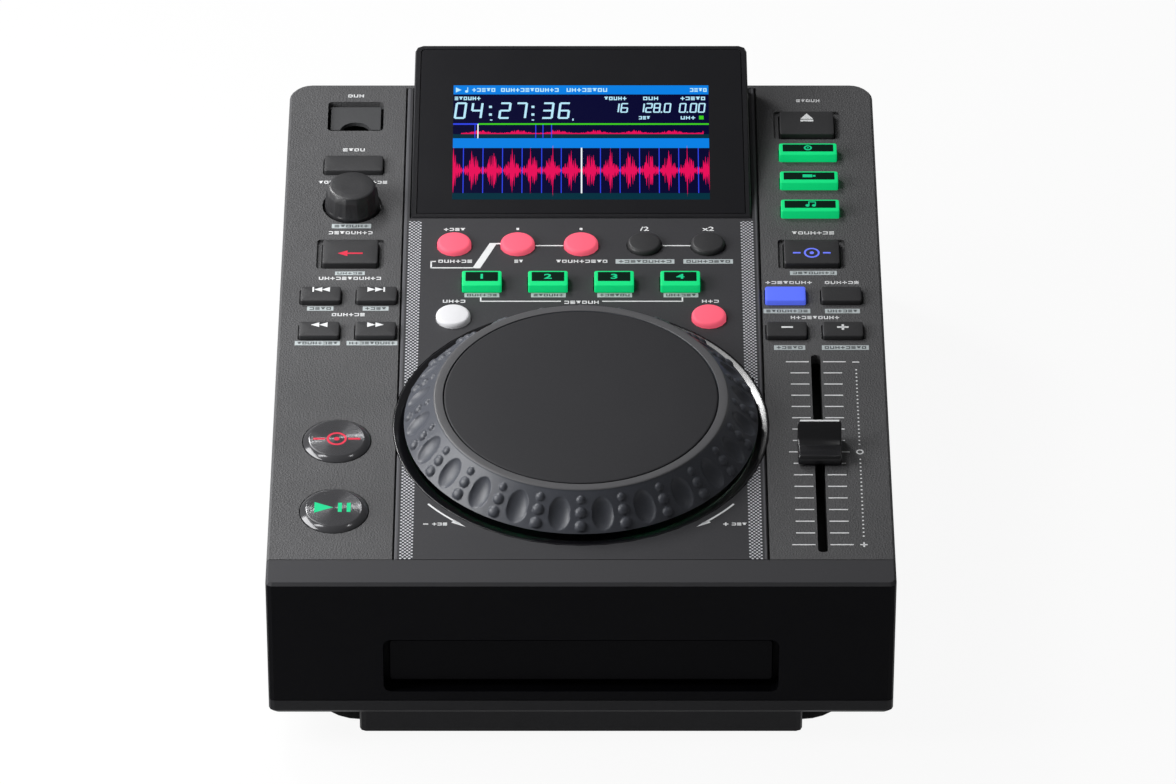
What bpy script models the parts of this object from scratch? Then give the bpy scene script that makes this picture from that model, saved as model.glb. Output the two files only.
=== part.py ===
"""Tabletop disc player for a DJ, modelled as the assembly that it is on a bench.

It stands on its feet with +Z up, its front towards -Y and +X to the right. The origin lies on the
floor, in the middle of its whole box. Lengths are in metres.

The case is made in the front frame: x to the right, y back from the front face, z up from the floor.
The deck slopes up to the back, so what sits on it is made in the deck frame, whose origin is the
middle of the deck's front edge: x to the right, y back along the deck, z square to the deck. The
screen has a frame of the same kind on the face of its pod, steeper than the deck.
"""
import math

import bmesh
import bpy

# Case
DECK_SLOPE = math.radians(4.1)
WALL = 0.0025
DECK_THICKNESS = 0.0040
BAND_DEPTH = 0.0130
REAR_CORNER = 0.0085
FRONT_CORNER = 0.0020
EDGE_ROUND = 0.0009
WING_INNER_MARGIN = 0.00185
WING_OUTER_MARGIN = 0.00765

# Fits that many pieces share
TOUCH_GAP = 0.0003
SIDE_GAP = 0.0004
OVERRUN = 0.0030
EMBED = 0.0006

# Bottom chassis, belly and feet
CHASSIS_HEIGHT = 0.0124
CHASSIS_SIDE_HEIGHT = 0.0061
CHASSIS_SHEET = 0.0020
CHASSIS_TAPER = 0.0012
CHASSIS_TAPER_HEIGHT = 0.0016
BELLY_HEIGHT = 0.0025
BELLY_SIDE_SETBACK = 0.0318
BELLY_FRONT_SETBACK = 0.0030
BELLY_REAR_SETBACK = 0.0120
BELLY_CORNER = 0.0022
FOOT_DIAMETER = 0.0340
FOOT_SIDE_SETBACK = 0.0320
FOOT_FRONT_SETBACK = 0.0290
FOOT_REAR_SETBACK = 0.0380
FOOT_BAY_GAP = 0.0008
FOOT_TREAD_STEP = 0.0012

# Centre plate in its pocket
PLATE_BOWL_OVERLAP = 0.0020
PLATE_GROOVE = 0.0007
PLATE_THICKNESS = 0.0020
PLATE_CHAMFER = 0.0004

# Screen pod
POD_LOOP_GAP = 0.0165
POD_PLATE_MARGIN = 0.0023
POD_NARROWING = 0.0007
POD_FACE_LENGTH = 0.08539
POD_FACE_TILT = math.radians(12.4)
POD_REAR_SETBACK = 0.0030
POD_CORNER = 0.0030
POD_WALL = 0.0025
POD_LIP = 0.0041
POD_FACE_THICKNESS = 0.0036
POD_EDGE = 0.0006
WINDOW_MARGIN = 0.0021
WINDOW_THICKNESS = 0.0015
WINDOW_CORNER = 0.0015
LCD_SIDE_MARGIN = 0.0132
LCD_START = 0.0085
LCD_END_MARGIN = 0.0195
LCD_THICKNESS = 0.0040
LCD_HATCH_MARGIN = 0.0040

# Places of the controls on the deck, from their neighbours
PAIR_PITCH = 0.0204
CUE_SHIFT = 0.0022
PLAY_BAND_GAP = 0.0267
CUE_PLAY_PITCH = 0.0390
SEARCH_TRACK_PITCH = 0.0207
TRACK_REVERSE_PITCH = 0.0257
REVERSE_KNOB_PITCH = 0.0296
KNOB_BACK_PITCH = 0.0238
BACK_BAY_PITCH = 0.0223
EJECT_BAY_PITCH = 0.0149
SOURCE_EJECT_PITCH = 0.0189
SOURCE_PITCH = 0.01735
LOOP_PITCH_SHARE = 0.35703
HOT_CUE_PITCH_SHARE = 0.37003
HOT_CUE_BOWL_GAP = 0.0141
LOOP_HOT_CUE_PITCH = 0.0235
SHIFT_BOWL_GAP = 0.00102
SHIFT_BEARING = math.radians(53.085)

# Keys and buttons
SMALL_KEY = (0.0147, 0.0086, 0.0019)
BACK_KEY = (0.0219, 0.0096, 0.0019)
WIDE_KEY = (0.0204, 0.0144, 0.0015)
SOURCE_KEY = (0.0215, 0.0072, 0.0032)
HOT_CUE_KEY = (0.0145, 0.0089, 0.0030)
KEY_CORNER = 0.0008
KEY_CHAMFER = 0.0005
KEY_TRAVEL = 0.0010
KEY_FLANGE = 0.0011
KEY_FLANGE_THICKNESS = 0.0010
KEY_STEM = 0.0040
DIMPLE_MARGIN = 0.0022
DIMPLE_LENGTH_MARGIN = 0.00155
DIMPLE_DEPTH = 0.0010
DIMPLE_CORNER = 0.0012
CUE_DIAMETER = 0.0241
CUE_HEIGHT = 0.0016
CUE_CHAMFER = 0.0007
LOOP_DIAMETER = 0.0126
LOOP_HEIGHT = 0.0025
LOOP_SHOULDER = 0.0010

# Browse knob on its encoder
KNOB_BASE_DIAMETER = 0.0203
KNOB_TOP_DIAMETER = 0.0164
KNOB_HEIGHT = 0.0092
KNOB_SKIRT_HEIGHT = 0.0016
KNOB_CHAMFER = 0.0014
KNOB_WELL_GAP = 0.0010
KNOB_WELL_DEPTH = 0.0030
KNOB_DROP = 0.0012
KNOB_ROOF = 0.0024
KNOB_FACETS = 16
SHAFT_DIAMETER = 0.0060
SHAFT_HOLE_GAP = 0.0010
SHAFT_ROOM = 0.0014
ENCODER_WIDTH = 0.0124
ENCODER_HEIGHT = 0.0065

# Pitch fader
FADER_BAND_GAP = 0.0043
FADER_SEARCH_GAP = 0.0132
FADER_SLOT_WIDTH = 0.0036
FADER_STEM_LENGTH = 0.0080
FADER_STEM_WIDTH = 0.0018
FADER_CAP_WIDTH = 0.0156
FADER_CAP_LENGTH = 0.0163
FADER_CAP_LIFT = 0.0010
FADER_CAP_SKIRT = 0.0022
FADER_CAP_LIP = 0.0042
FADER_CAP_SCOOP = 0.0034
FADER_CAP_RIDGE = 0.0100
FADER_RIDGE_WIDTH = 0.0022
FADER_TRACK_WIDTH = 0.0140
FADER_TRACK_MARGIN = 0.0040
FADER_CHANNEL_DEPTH = 0.0056
FADER_STEM_CLEARANCE = 0.0006

# Jog wheel, touch plate, bowl and bearing
BOWL_DIAMETER = 0.1348
BOWL_BAND_GAP = 0.0077
BOWL_LIP = 0.0006
BOWL_WALL_RUN = 0.0054
BOWL_DEPTH = 0.0060
BOWL_FLOOR_THICKNESS = 0.0020
BOWL_FLANGE = 0.0016
BOWL_FLANGE_THICKNESS = 0.0020
JOG_BOWL_GAP = 0.00415
JOG_SKIRT_RUN = 0.01005
JOG_SKIRT_HEIGHT = 0.0019
JOG_EDGE_RUN = 0.0013
JOG_SHOULDER_DROP = 0.0010
JOG_RIM_WIDTH = 0.0031
JOG_HEIGHT = 0.0132
JOG_SHELL = 0.0026
JOG_GRIPS = 24
JOG_GRIP_DEPTH = 0.0008
TOUCH_THICKNESS = 0.0020
TOUCH_CHAMFER = 0.0003
TOUCH_GROOVE = 0.0003
JOG_WEB = 0.0020
JOG_POST_DIAMETER = 0.0120
BEARING_DIAMETER = 0.0220
BEARING_HEIGHT = 0.0070
HUB_WALL = 0.0035

# USB bay with its door and socket
BAY_REAR_MARGIN = 0.0113
BAY_LENGTH = 0.0183
BAY_WIDTH = 0.0210
BAY_DEPTH = 0.0125
BAY_WALL = 0.0026
BAY_CORNER = 0.0015
DOOR_SIDE_GAP = 0.00115
DOOR_END_GAP = 0.0033
DOOR_THICKNESS = 0.0016
DOOR_DROP = 0.0015
DOOR_NOTCH_WIDTH = 0.0116
DOOR_NOTCH_DEPTH = 0.0047
PIN_RADIUS = 0.0008
PIN_REACH = 0.0024
PIN_BORE_GAP = 0.0003
SOCKET_WIDTH = 0.0142
SOCKET_LENGTH = 0.0070
SOCKET_ABOVE_FLOOR = 0.0020
SOCKET_HEIGHT = 0.0135
SOCKET_SHELL = 0.0008
SOCKET_COLLAR = 0.0014
SOCKET_COLLAR_THICKNESS = 0.0012
SOCKET_TONGUE_WIDTH = 0.0108
SOCKET_TONGUE_THICKNESS = 0.0018

# Control board under the deck
BOARD_DROP = 0.0120
BOARD_THICKNESS = 0.0016
BOARD_SIDE_MARGIN = 0.0060
BOARD_BOWL_GAP = 0.0010
BOARD_BAND_GAP = 0.0050
BOARD_BAY_GAP = 0.0044
BOARD_BAR_MARGIN = 0.0060
BOARD_POD_GAP = 0.0036
SWITCH_WIDTH = 0.0060
SWITCH_HEIGHT = 0.0036
PLUNGER_WIDTH = 0.0030
PLUNGER_HEIGHT = 0.0008
PRESS_MARGIN = 0.0003
BOSS_DIAMETER = 0.0050
BOSS_SIDE_MARGIN = 0.0095
BOSS_FRONT_MARGIN = 0.0070
BOSS_SEARCH_PITCH = 0.0213
BOSS_REAR_MARGIN = 0.0050

# Disc drive in the front
RECESS_SILL = 0.0037
RECESS_SIDE_GAP = 0.0020
RECESS_HEAD_GAP = 0.0021
RECESS_FOOT_GAP = 0.0029
RECESS_CORNER = 0.0025
RECESS_DEPTH = 0.0066
COLLAR_WALL = 0.0020
COLLAR_LIP = 0.0016
TRAY_FASCIA_SIDE_LAP = 0.0024
TRAY_FASCIA_FOOT_LAP = 0.0024
TRAY_FASCIA_HEAD_LAP = 0.0021
TRAY_FASCIA_SETBACK = 0.0030
TRAY_FASCIA_CORNER = 0.0012
TRAY_FASCIA_EDGE = 0.0004
TRAY_SIDE_MARGIN = 0.0040
TRAY_TAIL = 0.0175
TRAY_HEIGHT = 0.0130
TRAY_PASS_GAP = 0.0006
DISC_PLACE_RADIUS = 0.0610
DISC_PLACE_DEPTH = 0.0025
DISC_MARGIN = 0.0045
MOTOR_WELL_RADIUS = 0.0120
MOTOR_FLOOR = 0.0015
MOTOR_GAP = 0.0015
MOTOR_HEIGHT = 0.0040
SPINDLE_RADIUS = 0.0030
HUB_REST_RADIUS = 0.0110
HUB_REST_THICKNESS = 0.0010
HUB_RADIUS = 0.0074
HUB_PROUD = 0.0020
HUB_CHAMFER = 0.0006
SLED_HALF_WIDTH = 0.0134
SLED_LENGTH = 0.0240
SLED_START = 0.0150
SLED_RIM_MARGIN = 0.0310
SLED_DROP = 0.0010
SLED_KEEL_SETIN = 0.0032
SLED_KEEL_INSET = 0.0010
SLED_LEDGE_HEIGHT = 0.0035
LENS_RADIUS = 0.0035
LENS_HEIGHT = 0.0008
DRIVE_SIDE_ROOM = 0.0050
DRIVE_UNDER_ROOM = 0.0075
DRIVE_OVER_ROOM = 0.0065
DRIVE_REAR_ROOM = 0.0120
DRIVE_HEADROOM = 0.0084
DRIVE_SHEET = 0.0015
DRIVE_SETBACK = 0.0012
RUNNER_WIDTH = 0.0080
RUNNER_HEIGHT = 0.0030

# Rear panel, jacks, inlet and switch
PANEL_THICKNESS = 0.0015
PANEL_SIDE_MARGIN = 0.0100
PANEL_LAP = 0.0050
PANEL_WINDOW_MARGIN = 0.0140
PANEL_SILL = 0.0030
PANEL_HEAD = 0.0190
JACK_REACH = 0.0085
JACK_RADIUS = 0.0042
JACK_NUT_RADIUS = 0.0056
JACK_NUT_THICKNESS = 0.0022
JACK_BORE_RADIUS = 0.0016
JACK_BORE_DEPTH = 0.0060
JACK_START = 0.0060
JACK_PITCH = 0.0170
JACK_COUNT = 4
USB_B_SIDE_MARGIN = 0.0250
USB_B_WIDTH = 0.0120
USB_B_HEIGHT = 0.0110
USB_B_REACH = 0.0012
USB_B_SHELL = 0.0018
USB_B_DEPTH = 0.0082
JACK_BODY_WIDTH = 0.0120
JACK_BODY_LENGTH = 0.0110
INLET_SIDE_MARGIN = 0.0480
INLET_RAISE = 0.0266
INLET_WIDTH = 0.0510
INLET_FLANGE_HEIGHT = 0.0260
INLET_FLANGE_THICKNESS = 0.0018
INLET_FLANGE_RIM = 0.0020
INLET_DEPTH = 0.0200
SOCKET_CAVITY_WIDTH = 0.0248
SOCKET_CAVITY_HEIGHT = 0.0166
SOCKET_CAVITY_DEPTH = 0.0160
SOCKET_CAVITY_OFFSET = 0.0098
PIN_SPREAD = 0.0070
PIN_THICKNESS = 0.0020
PIN_WIDTH = 0.0040
PIN_RAISE = 0.0020
PIN_LENGTH = 0.0140
ROCKER_OFFSET = 0.0142
ROCKER_WIDTH = 0.0124
ROCKER_HALF_LENGTH = 0.0090
ROCKER_BAY_GAP = 0.0008
ROCKER_BAY_DEPTH = 0.0062
ROCKER_CROWN = 0.0026
ROCKER_VALLEY = 0.0012
ROCKER_KEEL = 0.0020
ROCKER_ANGLE = math.radians(12.0)

# Boards on the floor of the chassis
POST_DIAMETER = 0.0050
DRIVE_POST_GAP = 0.0060
DRIVE_POST_INSET = 0.0200
MAIN_BOARD_SIDE_MARGIN = 0.0120
MAIN_BOARD_USB_MARGIN = 0.0110
MAIN_BOARD_DRIVE_GAP = 0.0126
MAIN_BOARD_REAR_GAP = 0.0015
MAIN_BOARD_RAISE = 0.0116
MAIN_CHIP_WIDTH = 0.0240
MAIN_CHIP_HEIGHT = 0.0022
MAIN_PLUG_LENGTH = 0.0300
MAIN_PLUG_WIDTH = 0.0060
MAIN_PLUG_HEIGHT = 0.0070
MAIN_POST_GAP = 0.0110
MAIN_POST_INSET = 0.0080
POWER_BOARD_SIDE_MARGIN = 0.0185
POWER_BOARD_WIDTH = 0.0260
POWER_BOARD_DRIVE_GAP = 0.0046
POWER_BOARD_LENGTH = 0.0860
POWER_BOARD_RAISE = 0.0046
POWER_POST_INSET = 0.0060
TRANSFORMER_WIDTH = 0.0200
TRANSFORMER_LENGTH = 0.0260
TRANSFORMER_HEIGHT = 0.0220
CAPACITOR_RADIUS = 0.0080
CAPACITOR_HEIGHT = 0.0240
CAPACITOR_GAP = 0.0020

# Numbers of sides and steps
CORNER_STEPS = 2
CASE_CORNER_STEPS = 6
KEY_CORNER_STEPS = 1
BUTTON_SIDES = 16
CUE_SIDES = 24
BOWL_SIDES = 48
JOG_STEPS_PER_GRIP = 3

# Finishes: colour, roughness, metallic
CASE_BLACK = ((0.110, 0.111, 0.115), 0.62, 0.0)
FASCIA_BLACK = ((0.012, 0.013, 0.017), 0.45, 0.0)
PLATE_GREY = ((0.060, 0.061, 0.066), 0.50, 0.0)
GLOSS_BLACK = ((0.010, 0.010, 0.012), 0.08, 0.0)
RUBBER_GREY = ((0.072, 0.082, 0.100), 0.60, 0.0)
TOUCH_GREY = ((0.045, 0.045, 0.052), 0.55, 0.0)
KEY_BLACK = ((0.020, 0.020, 0.023), 0.40, 0.0)
KEY_PINK = ((0.950, 0.160, 0.230), 0.45, 0.0)
KEY_GREEN = ((0.020, 0.750, 0.220), 0.45, 0.0)
KEY_BLUE = ((0.140, 0.220, 0.950), 0.45, 0.0)
KEY_WHITE = ((0.820, 0.820, 0.840), 0.45, 0.0)
SPUN_BLACK = ((0.030, 0.030, 0.034), 0.22, 0.6)
FOOT_RUBBER = ((0.015, 0.015, 0.016), 0.85, 0.0)
STEEL = ((0.560, 0.570, 0.580), 0.35, 1.0)
BRASS = ((0.700, 0.520, 0.240), 0.35, 1.0)
BOARD_GREEN = ((0.020, 0.130, 0.060), 0.50, 0.0)
DISPLAY_BLUE = ((0.010, 0.060, 0.300), 0.25, 0.0)
TRAY_GREY = ((0.050, 0.050, 0.055), 0.50, 0.0)

# Across the deck, from the bowl outwards
BOWL_RADIUS = BOWL_DIAMETER / 2
PLATE_HALF_WIDTH = BOWL_RADIUS - PLATE_BOWL_OVERLAP
WING_GROUP_WIDTH = PAIR_PITCH + SMALL_KEY[0]
WING_LINE = PLATE_HALF_WIDTH + WING_INNER_MARGIN + WING_GROUP_WIDTH / 2
HALF_WIDTH = WING_LINE + WING_GROUP_WIDTH / 2 + WING_OUTER_MARGIN
CUE_LINE = WING_LINE + CUE_SHIFT
LOOP_PITCH = PLATE_HALF_WIDTH * LOOP_PITCH_SHARE
HOT_CUE_PITCH = PLATE_HALF_WIDTH * HOT_CUE_PITCH_SHARE
SHIFT_REACH = BOWL_RADIUS + BOWL_FLANGE + KEY_FLANGE + LOOP_DIAMETER / 2 + SHIFT_BOWL_GAP
SHIFT_LINE = SHIFT_REACH * math.cos(SHIFT_BEARING)
POD_BASE_HALF_WIDTH = PLATE_HALF_WIDTH - POD_PLATE_MARGIN
POD_TOP_HALF_WIDTH = POD_BASE_HALF_WIDTH - POD_NARROWING
LCD_WIDTH = 2 * (POD_TOP_HALF_WIDTH - LCD_SIDE_MARGIN)
LCD_LENGTH = POD_FACE_LENGTH - LCD_START - LCD_END_MARGIN

# Back along the deck, from the front band to the pod, then forwards from the back
JOG_ROW = BAND_DEPTH + BOWL_BAND_GAP + BOWL_RADIUS
SHIFT_ROW = JOG_ROW + SHIFT_REACH * math.sin(SHIFT_BEARING)
HOT_CUE_ROW = JOG_ROW + BOWL_RADIUS + HOT_CUE_BOWL_GAP
LOOP_ROW = HOT_CUE_ROW + LOOP_HOT_CUE_PITCH
POD_FRONT = LOOP_ROW + POD_LOOP_GAP
DECK_LENGTH = POD_FRONT + POD_FACE_LENGTH * math.cos(POD_FACE_TILT)
POD_REAR = DECK_LENGTH - POD_REAR_SETBACK
BAY_REAR = DECK_LENGTH - BAY_REAR_MARGIN
BAY_FRONT = BAY_REAR - BAY_LENGTH
BACK_ROW = BAY_FRONT - BACK_BAY_PITCH
KNOB_ROW = BACK_ROW - KNOB_BACK_PITCH
REVERSE_ROW = KNOB_ROW - REVERSE_KNOB_PITCH
TRACK_ROW = REVERSE_ROW - TRACK_REVERSE_PITCH
SEARCH_ROW = TRACK_ROW - SEARCH_TRACK_PITCH
EJECT_ROW = BAY_REAR - EJECT_BAY_PITCH
SOURCE_ROW = EJECT_ROW - SOURCE_EJECT_PITCH
PLAY_ROW = BAND_DEPTH + PLAY_BAND_GAP
CUE_ROW = PLAY_ROW + CUE_PLAY_PITCH
FADER_START = BAND_DEPTH + FADER_BAND_GAP
FADER_END = SEARCH_ROW - FADER_SEARCH_GAP
FADER_ROW = (FADER_START + FADER_END) / 2
FADER_HALF_SLOT = (FADER_END - FADER_START) / 2

# Jog wheel inside its bowl, knob and USB door inside their recesses
BOWL_FLOOR_DIAMETER = BOWL_DIAMETER - 2 * BOWL_WALL_RUN
JOG_SKIRT_DIAMETER = BOWL_DIAMETER - 2 * JOG_BOWL_GAP
JOG_SHOULDER_DIAMETER = JOG_SKIRT_DIAMETER - 2 * JOG_SKIRT_RUN
JOG_RIM_DIAMETER = JOG_SHOULDER_DIAMETER - 2 * JOG_EDGE_RUN
TOUCH_DIAMETER = JOG_RIM_DIAMETER - 2 * JOG_RIM_WIDTH
KNOB_WELL_DIAMETER = KNOB_BASE_DIAMETER + 2 * KNOB_WELL_GAP
SHAFT_TOP = KNOB_HEIGHT - KNOB_ROOF - SHAFT_ROOM
DOOR_WIDTH = BAY_WIDTH - 2 * DOOR_SIDE_GAP
DOOR_LENGTH = BAY_LENGTH - DOOR_END_GAP
DOOR_AXIS_ROW = BAY_REAR - DOOR_THICKNESS / 2 - PIN_BORE_GAP - SIDE_GAP
DOOR_AXIS_DROP = DOOR_DROP + DOOR_THICKNESS / 2
SCREEN_FLOOR = -(WINDOW_THICKNESS + TOUCH_GAP)

# Layers under the deck
UNDERSIDE = -DECK_THICKNESS
PLATE_FLOOR = -(PLATE_THICKNESS + TOUCH_GAP)
BOARD_TOP = -BOARD_DROP
STEM_BOTTOM = BOARD_TOP + SWITCH_HEIGHT + PLUNGER_HEIGHT + KEY_TRAVEL + PRESS_MARGIN
BOARD_HALF_WIDTH = HALF_WIDTH - BOARD_SIDE_MARGIN
BOARD_INNER_HALF_WIDTH = BOWL_RADIUS + BOWL_FLANGE + BOARD_BOWL_GAP
BOARD_FRONT = BAND_DEPTH + BOARD_BAND_GAP
BOARD_REAR = BAY_FRONT - BOARD_BAY_GAP
BOARD_BAR_FRONT = SHIFT_ROW - BOARD_BAR_MARGIN
BOARD_BAR_REAR = POD_FRONT - BOARD_POD_GAP
BOSS_LINE = HALF_WIDTH - BOSS_SIDE_MARGIN
BOSS_ROWS = (BOARD_FRONT + BOSS_FRONT_MARGIN, SEARCH_ROW - BOSS_SEARCH_PITCH,
             BOARD_REAR - BOSS_REAR_MARGIN)

# Heights in the front, from the feet up through the drive to the deck's front edge
SEAM_HEIGHT = CHASSIS_HEIGHT + CHASSIS_SIDE_HEIGHT
PAN_FLOOR = CHASSIS_HEIGHT + CHASSIS_SHEET
BELLY_FLOOR = BELLY_HEIGHT + CHASSIS_SHEET
RECESS_LOW = SEAM_HEIGHT + RECESS_SILL
TRAY_FASCIA_LOW = RECESS_LOW + RECESS_FOOT_GAP
TRAY_LOW = TRAY_FASCIA_LOW + TRAY_FASCIA_FOOT_LAP
TRAY_HIGH = TRAY_LOW + TRAY_HEIGHT
TRAY_FASCIA_HIGH = TRAY_HIGH + TRAY_FASCIA_HEAD_LAP
RECESS_HIGH = TRAY_FASCIA_HIGH + RECESS_HEAD_GAP
DRIVE_LOW = TRAY_LOW - DRIVE_UNDER_ROOM
DRIVE_HIGH = TRAY_HIGH + DRIVE_OVER_ROOM
SLED_LEDGE = TRAY_LOW + SLED_LEDGE_HEIGHT
SLED_HIGH = TRAY_HIGH - DISC_PLACE_DEPTH - SLED_DROP
FRONT_HEIGHT = DRIVE_HIGH + DRIVE_HEADROOM + BOARD_THICKNESS + BOARD_DROP

# Drive, from the disc outwards
TRAY_HALF_WIDTH = DISC_PLACE_RADIUS + TRAY_SIDE_MARGIN
TRAY_FASCIA_HALF_WIDTH = TRAY_HALF_WIDTH + TRAY_FASCIA_SIDE_LAP
RECESS_HALF_WIDTH = TRAY_FASCIA_HALF_WIDTH + RECESS_SIDE_GAP
DRIVE_HALF_WIDTH = TRAY_HALF_WIDTH + DRIVE_SIDE_ROOM
TRAY_LENGTH = DISC_MARGIN + 2 * DISC_PLACE_RADIUS + TRAY_TAIL
DRIVE_LENGTH = TRAY_LENGTH + DRIVE_REAR_ROOM
DISC_CENTRE = RECESS_DEPTH + DISC_MARGIN + DISC_PLACE_RADIUS
DRIVE_FRONT = RECESS_DEPTH + COLLAR_LIP + DRIVE_SETBACK
DRIVE_REAR = DRIVE_FRONT + DRIVE_LENGTH
SLED_TRAVEL = DISC_PLACE_RADIUS - SLED_RIM_MARGIN
SLED_KEEL_HALF_WIDTH = SLED_HALF_WIDTH - SLED_KEEL_SETIN
MOTOR_RADIUS = MOTOR_WELL_RADIUS - MOTOR_GAP

# Case on the floor, with its feet, rear panel and boards
CASE_DEPTH = DECK_LENGTH * math.cos(DECK_SLOPE)
PANEL_FACE = CASE_DEPTH - WALL - TOUCH_GAP
WHOLE_DEPTH = max(CASE_DEPTH, PANEL_FACE + JACK_REACH)
FRONT_Y = -WHOLE_DEPTH / 2
BELLY_HALF_WIDTH = HALF_WIDTH - BELLY_SIDE_SETBACK
FOOT_LINE = HALF_WIDTH - FOOT_SIDE_SETBACK
FOOT_EDGE = FOOT_LINE - FOOT_DIAMETER / 2
DRIVE_POST_LINE = FOOT_EDGE - DRIVE_POST_GAP
MAIN_POST_LINE = FOOT_EDGE - MAIN_POST_GAP
PANEL_HALF_WIDTH = HALF_WIDTH - PANEL_SIDE_MARGIN
PANEL_WINDOW_HALF_WIDTH = HALF_WIDTH - PANEL_WINDOW_MARGIN
USB_B_LINE = HALF_WIDTH - USB_B_SIDE_MARGIN
INLET_LINE = HALF_WIDTH - INLET_SIDE_MARGIN
INLET_HEIGHT = PAN_FLOOR + INLET_RAISE
PANEL_WINDOW_LOW = SEAM_HEIGHT + PANEL_SILL
PANEL_WINDOW_HIGH = INLET_HEIGHT + PANEL_HEAD
PANEL_HIGH = PANEL_WINDOW_HIGH + PANEL_LAP
MAIN_BOARD_LEFT = MAIN_POST_LINE + MAIN_BOARD_SIDE_MARGIN
MAIN_BOARD_RIGHT = USB_B_LINE + MAIN_BOARD_USB_MARGIN
MAIN_BOARD_FRONT = DRIVE_REAR + MAIN_BOARD_DRIVE_GAP
MAIN_BOARD_REAR = PANEL_FACE - PANEL_THICKNESS - MAIN_BOARD_REAR_GAP
MAIN_BOARD_HEIGHT = PAN_FLOOR + MAIN_BOARD_RAISE
JACK_HEIGHT = MAIN_BOARD_HEIGHT + BOARD_THICKNESS + JACK_BODY_WIDTH / 2
POWER_BOARD_LINE = HALF_WIDTH - POWER_BOARD_SIDE_MARGIN
POWER_BOARD_FRONT = DRIVE_REAR + POWER_BOARD_DRIVE_GAP
POWER_BOARD_HEIGHT = PAN_FLOOR + POWER_BOARD_RAISE


def deck_height(y, thickness=0.0):
    """Height of the deck's surface at y in the front frame, or of a plane that far below it."""
    return FRONT_HEIGHT + y * math.tan(DECK_SLOPE) - thickness / math.cos(DECK_SLOPE)


def corner_arc(x, y, radius, start, steps=CORNER_STEPS):
    """Quarter circle about (x, y) from the angle start, or the point itself where it has no radius."""
    if radius <= 0:
        return [(x, y)]
    turns = [start + math.pi / 2 * i / steps for i in range(steps + 1)]
    return [(x + radius * math.cos(a), y + radius * math.sin(a)) for a in turns]


def plan(left, right, front, rear, front_radius=0.0, rear_radius=0.0, steps=CORNER_STEPS):
    """Rectangle with one radius at its two front corners and one at its two rear corners."""
    a = front_radius
    b = rear_radius
    return (corner_arc(right - b, rear - b, b, 0, steps)
            + corner_arc(left + b, rear - b, b, math.pi / 2, steps)
            + corner_arc(left + a, front + a, a, math.pi)
            + corner_arc(right - a, front + a, a, math.pi * 3 / 2))


def rectangle(width, length, radius=0.0):
    """Rectangle about the origin with one corner radius."""
    return plan(-width / 2, width / 2, -length / 2, length / 2, radius, radius)


def key_outline(width, length, radius=KEY_CORNER):
    """Rectangle about the origin with the small plain corners of a key."""
    corners = []
    for i, (x, y) in enumerate(((1, 1), (-1, 1), (-1, -1), (1, -1))):
        corners += corner_arc(x * (width / 2 - radius), y * (length / 2 - radius), radius,
                              math.pi / 2 * i, KEY_CORNER_STEPS)
    return corners


def circle(radius, sides):
    """Regular outline about the origin."""
    turns = [math.tau * i / sides for i in range(sides)]
    return [(radius * math.cos(a), radius * math.sin(a)) for a in turns]


def at_height(outline, z, x=0.0, y=0.0):
    """Ring of an outline moved to (x, y) at the height z."""
    return [(px + x, py + y, z) for px, py in outline]


def add_rings(mesh, rings, closed=False):
    """Skin rings of equal length: capped at both ends, or joined from the last to the first."""
    rows = [[mesh.verts.new(point) for point in ring] for ring in rings]
    pairs = list(zip(rows, rows[1:]))
    if closed:
        pairs.append((rows[-1], rows[0]))
    else:
        mesh.faces.new(rows[0])
        mesh.faces.new(rows[-1])
    for low, high in pairs:
        for i in range(len(low)):
            j = (i + 1) % len(low)
            mesh.faces.new((low[i], low[j], high[j], high[i]))


def add_prism(mesh, outline, low, high, x=0.0, y=0.0):
    """Upright prism of an outline."""
    add_rings(mesh, [at_height(outline, low, x, y), at_height(outline, high, x, y)])


def add_box(mesh, left, right, front, rear, low, high):
    """Plain box between six planes."""
    add_prism(mesh, plan(left, right, front, rear), low, high)


def turned_rings(profile, sides):
    """Rings of a profile of (radius, height) turned about the upright axis."""
    return [at_height(circle(radius, sides), height) for radius, height in profile]


def material(name, finish):
    """Principled material of one piece."""
    colour, roughness, metallic = finish
    made = bpy.data.materials.new(name + "_finish")
    made.use_nodes = True
    shader = made.node_tree.nodes["Principled BSDF"]
    shader.inputs["Base Color"].default_value = (*colour, 1.0)
    shader.inputs["Roughness"].default_value = roughness
    shader.inputs["Metallic"].default_value = metallic
    return made


def make(name, mesh, frame, place=(0.0, 0.0, 0.0)):
    """Object of a bmesh in a frame, with faces out, flats flat and rounds smooth."""
    bmesh.ops.recalc_face_normals(mesh, faces=mesh.faces)
    data = bpy.data.meshes.new(name)
    mesh.to_mesh(data)
    mesh.free()
    data.shade_smooth()
    data.set_sharp_from_angle(angle=math.radians(30))
    made = bpy.data.objects.new(name, data)
    bpy.context.scene.collection.objects.link(made)
    made.parent = frame
    made.location = place
    return made


def piece(name, mesh, finish, frame, place=(0.0, 0.0, 0.0)):
    """Piece of the player with its own material."""
    made = make(name, mesh, frame, place)
    made.data.materials.append(material(name, finish))
    return made


def guide(name, mesh, frame, place=(0.0, 0.0, 0.0)):
    """Shape that only cuts or joins another one."""
    made = make(name + "_guide", mesh, frame, place)
    made.hide_render = True
    made.display_type = "WIRE"
    return made


def combine(target, tool, operation):
    """Exact Boolean of the target with a guide."""
    step = target.modifiers.new(tool.name, "BOOLEAN")
    step.operation = operation
    step.solver = "EXACT"
    step.object = tool


def cut(target, tool):
    """Take the guide's shape out of the target."""
    combine(target, tool, "DIFFERENCE")


def fuse(target, tool):
    """Make the guide's shape part of the target."""
    combine(target, tool, "UNION")


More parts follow.
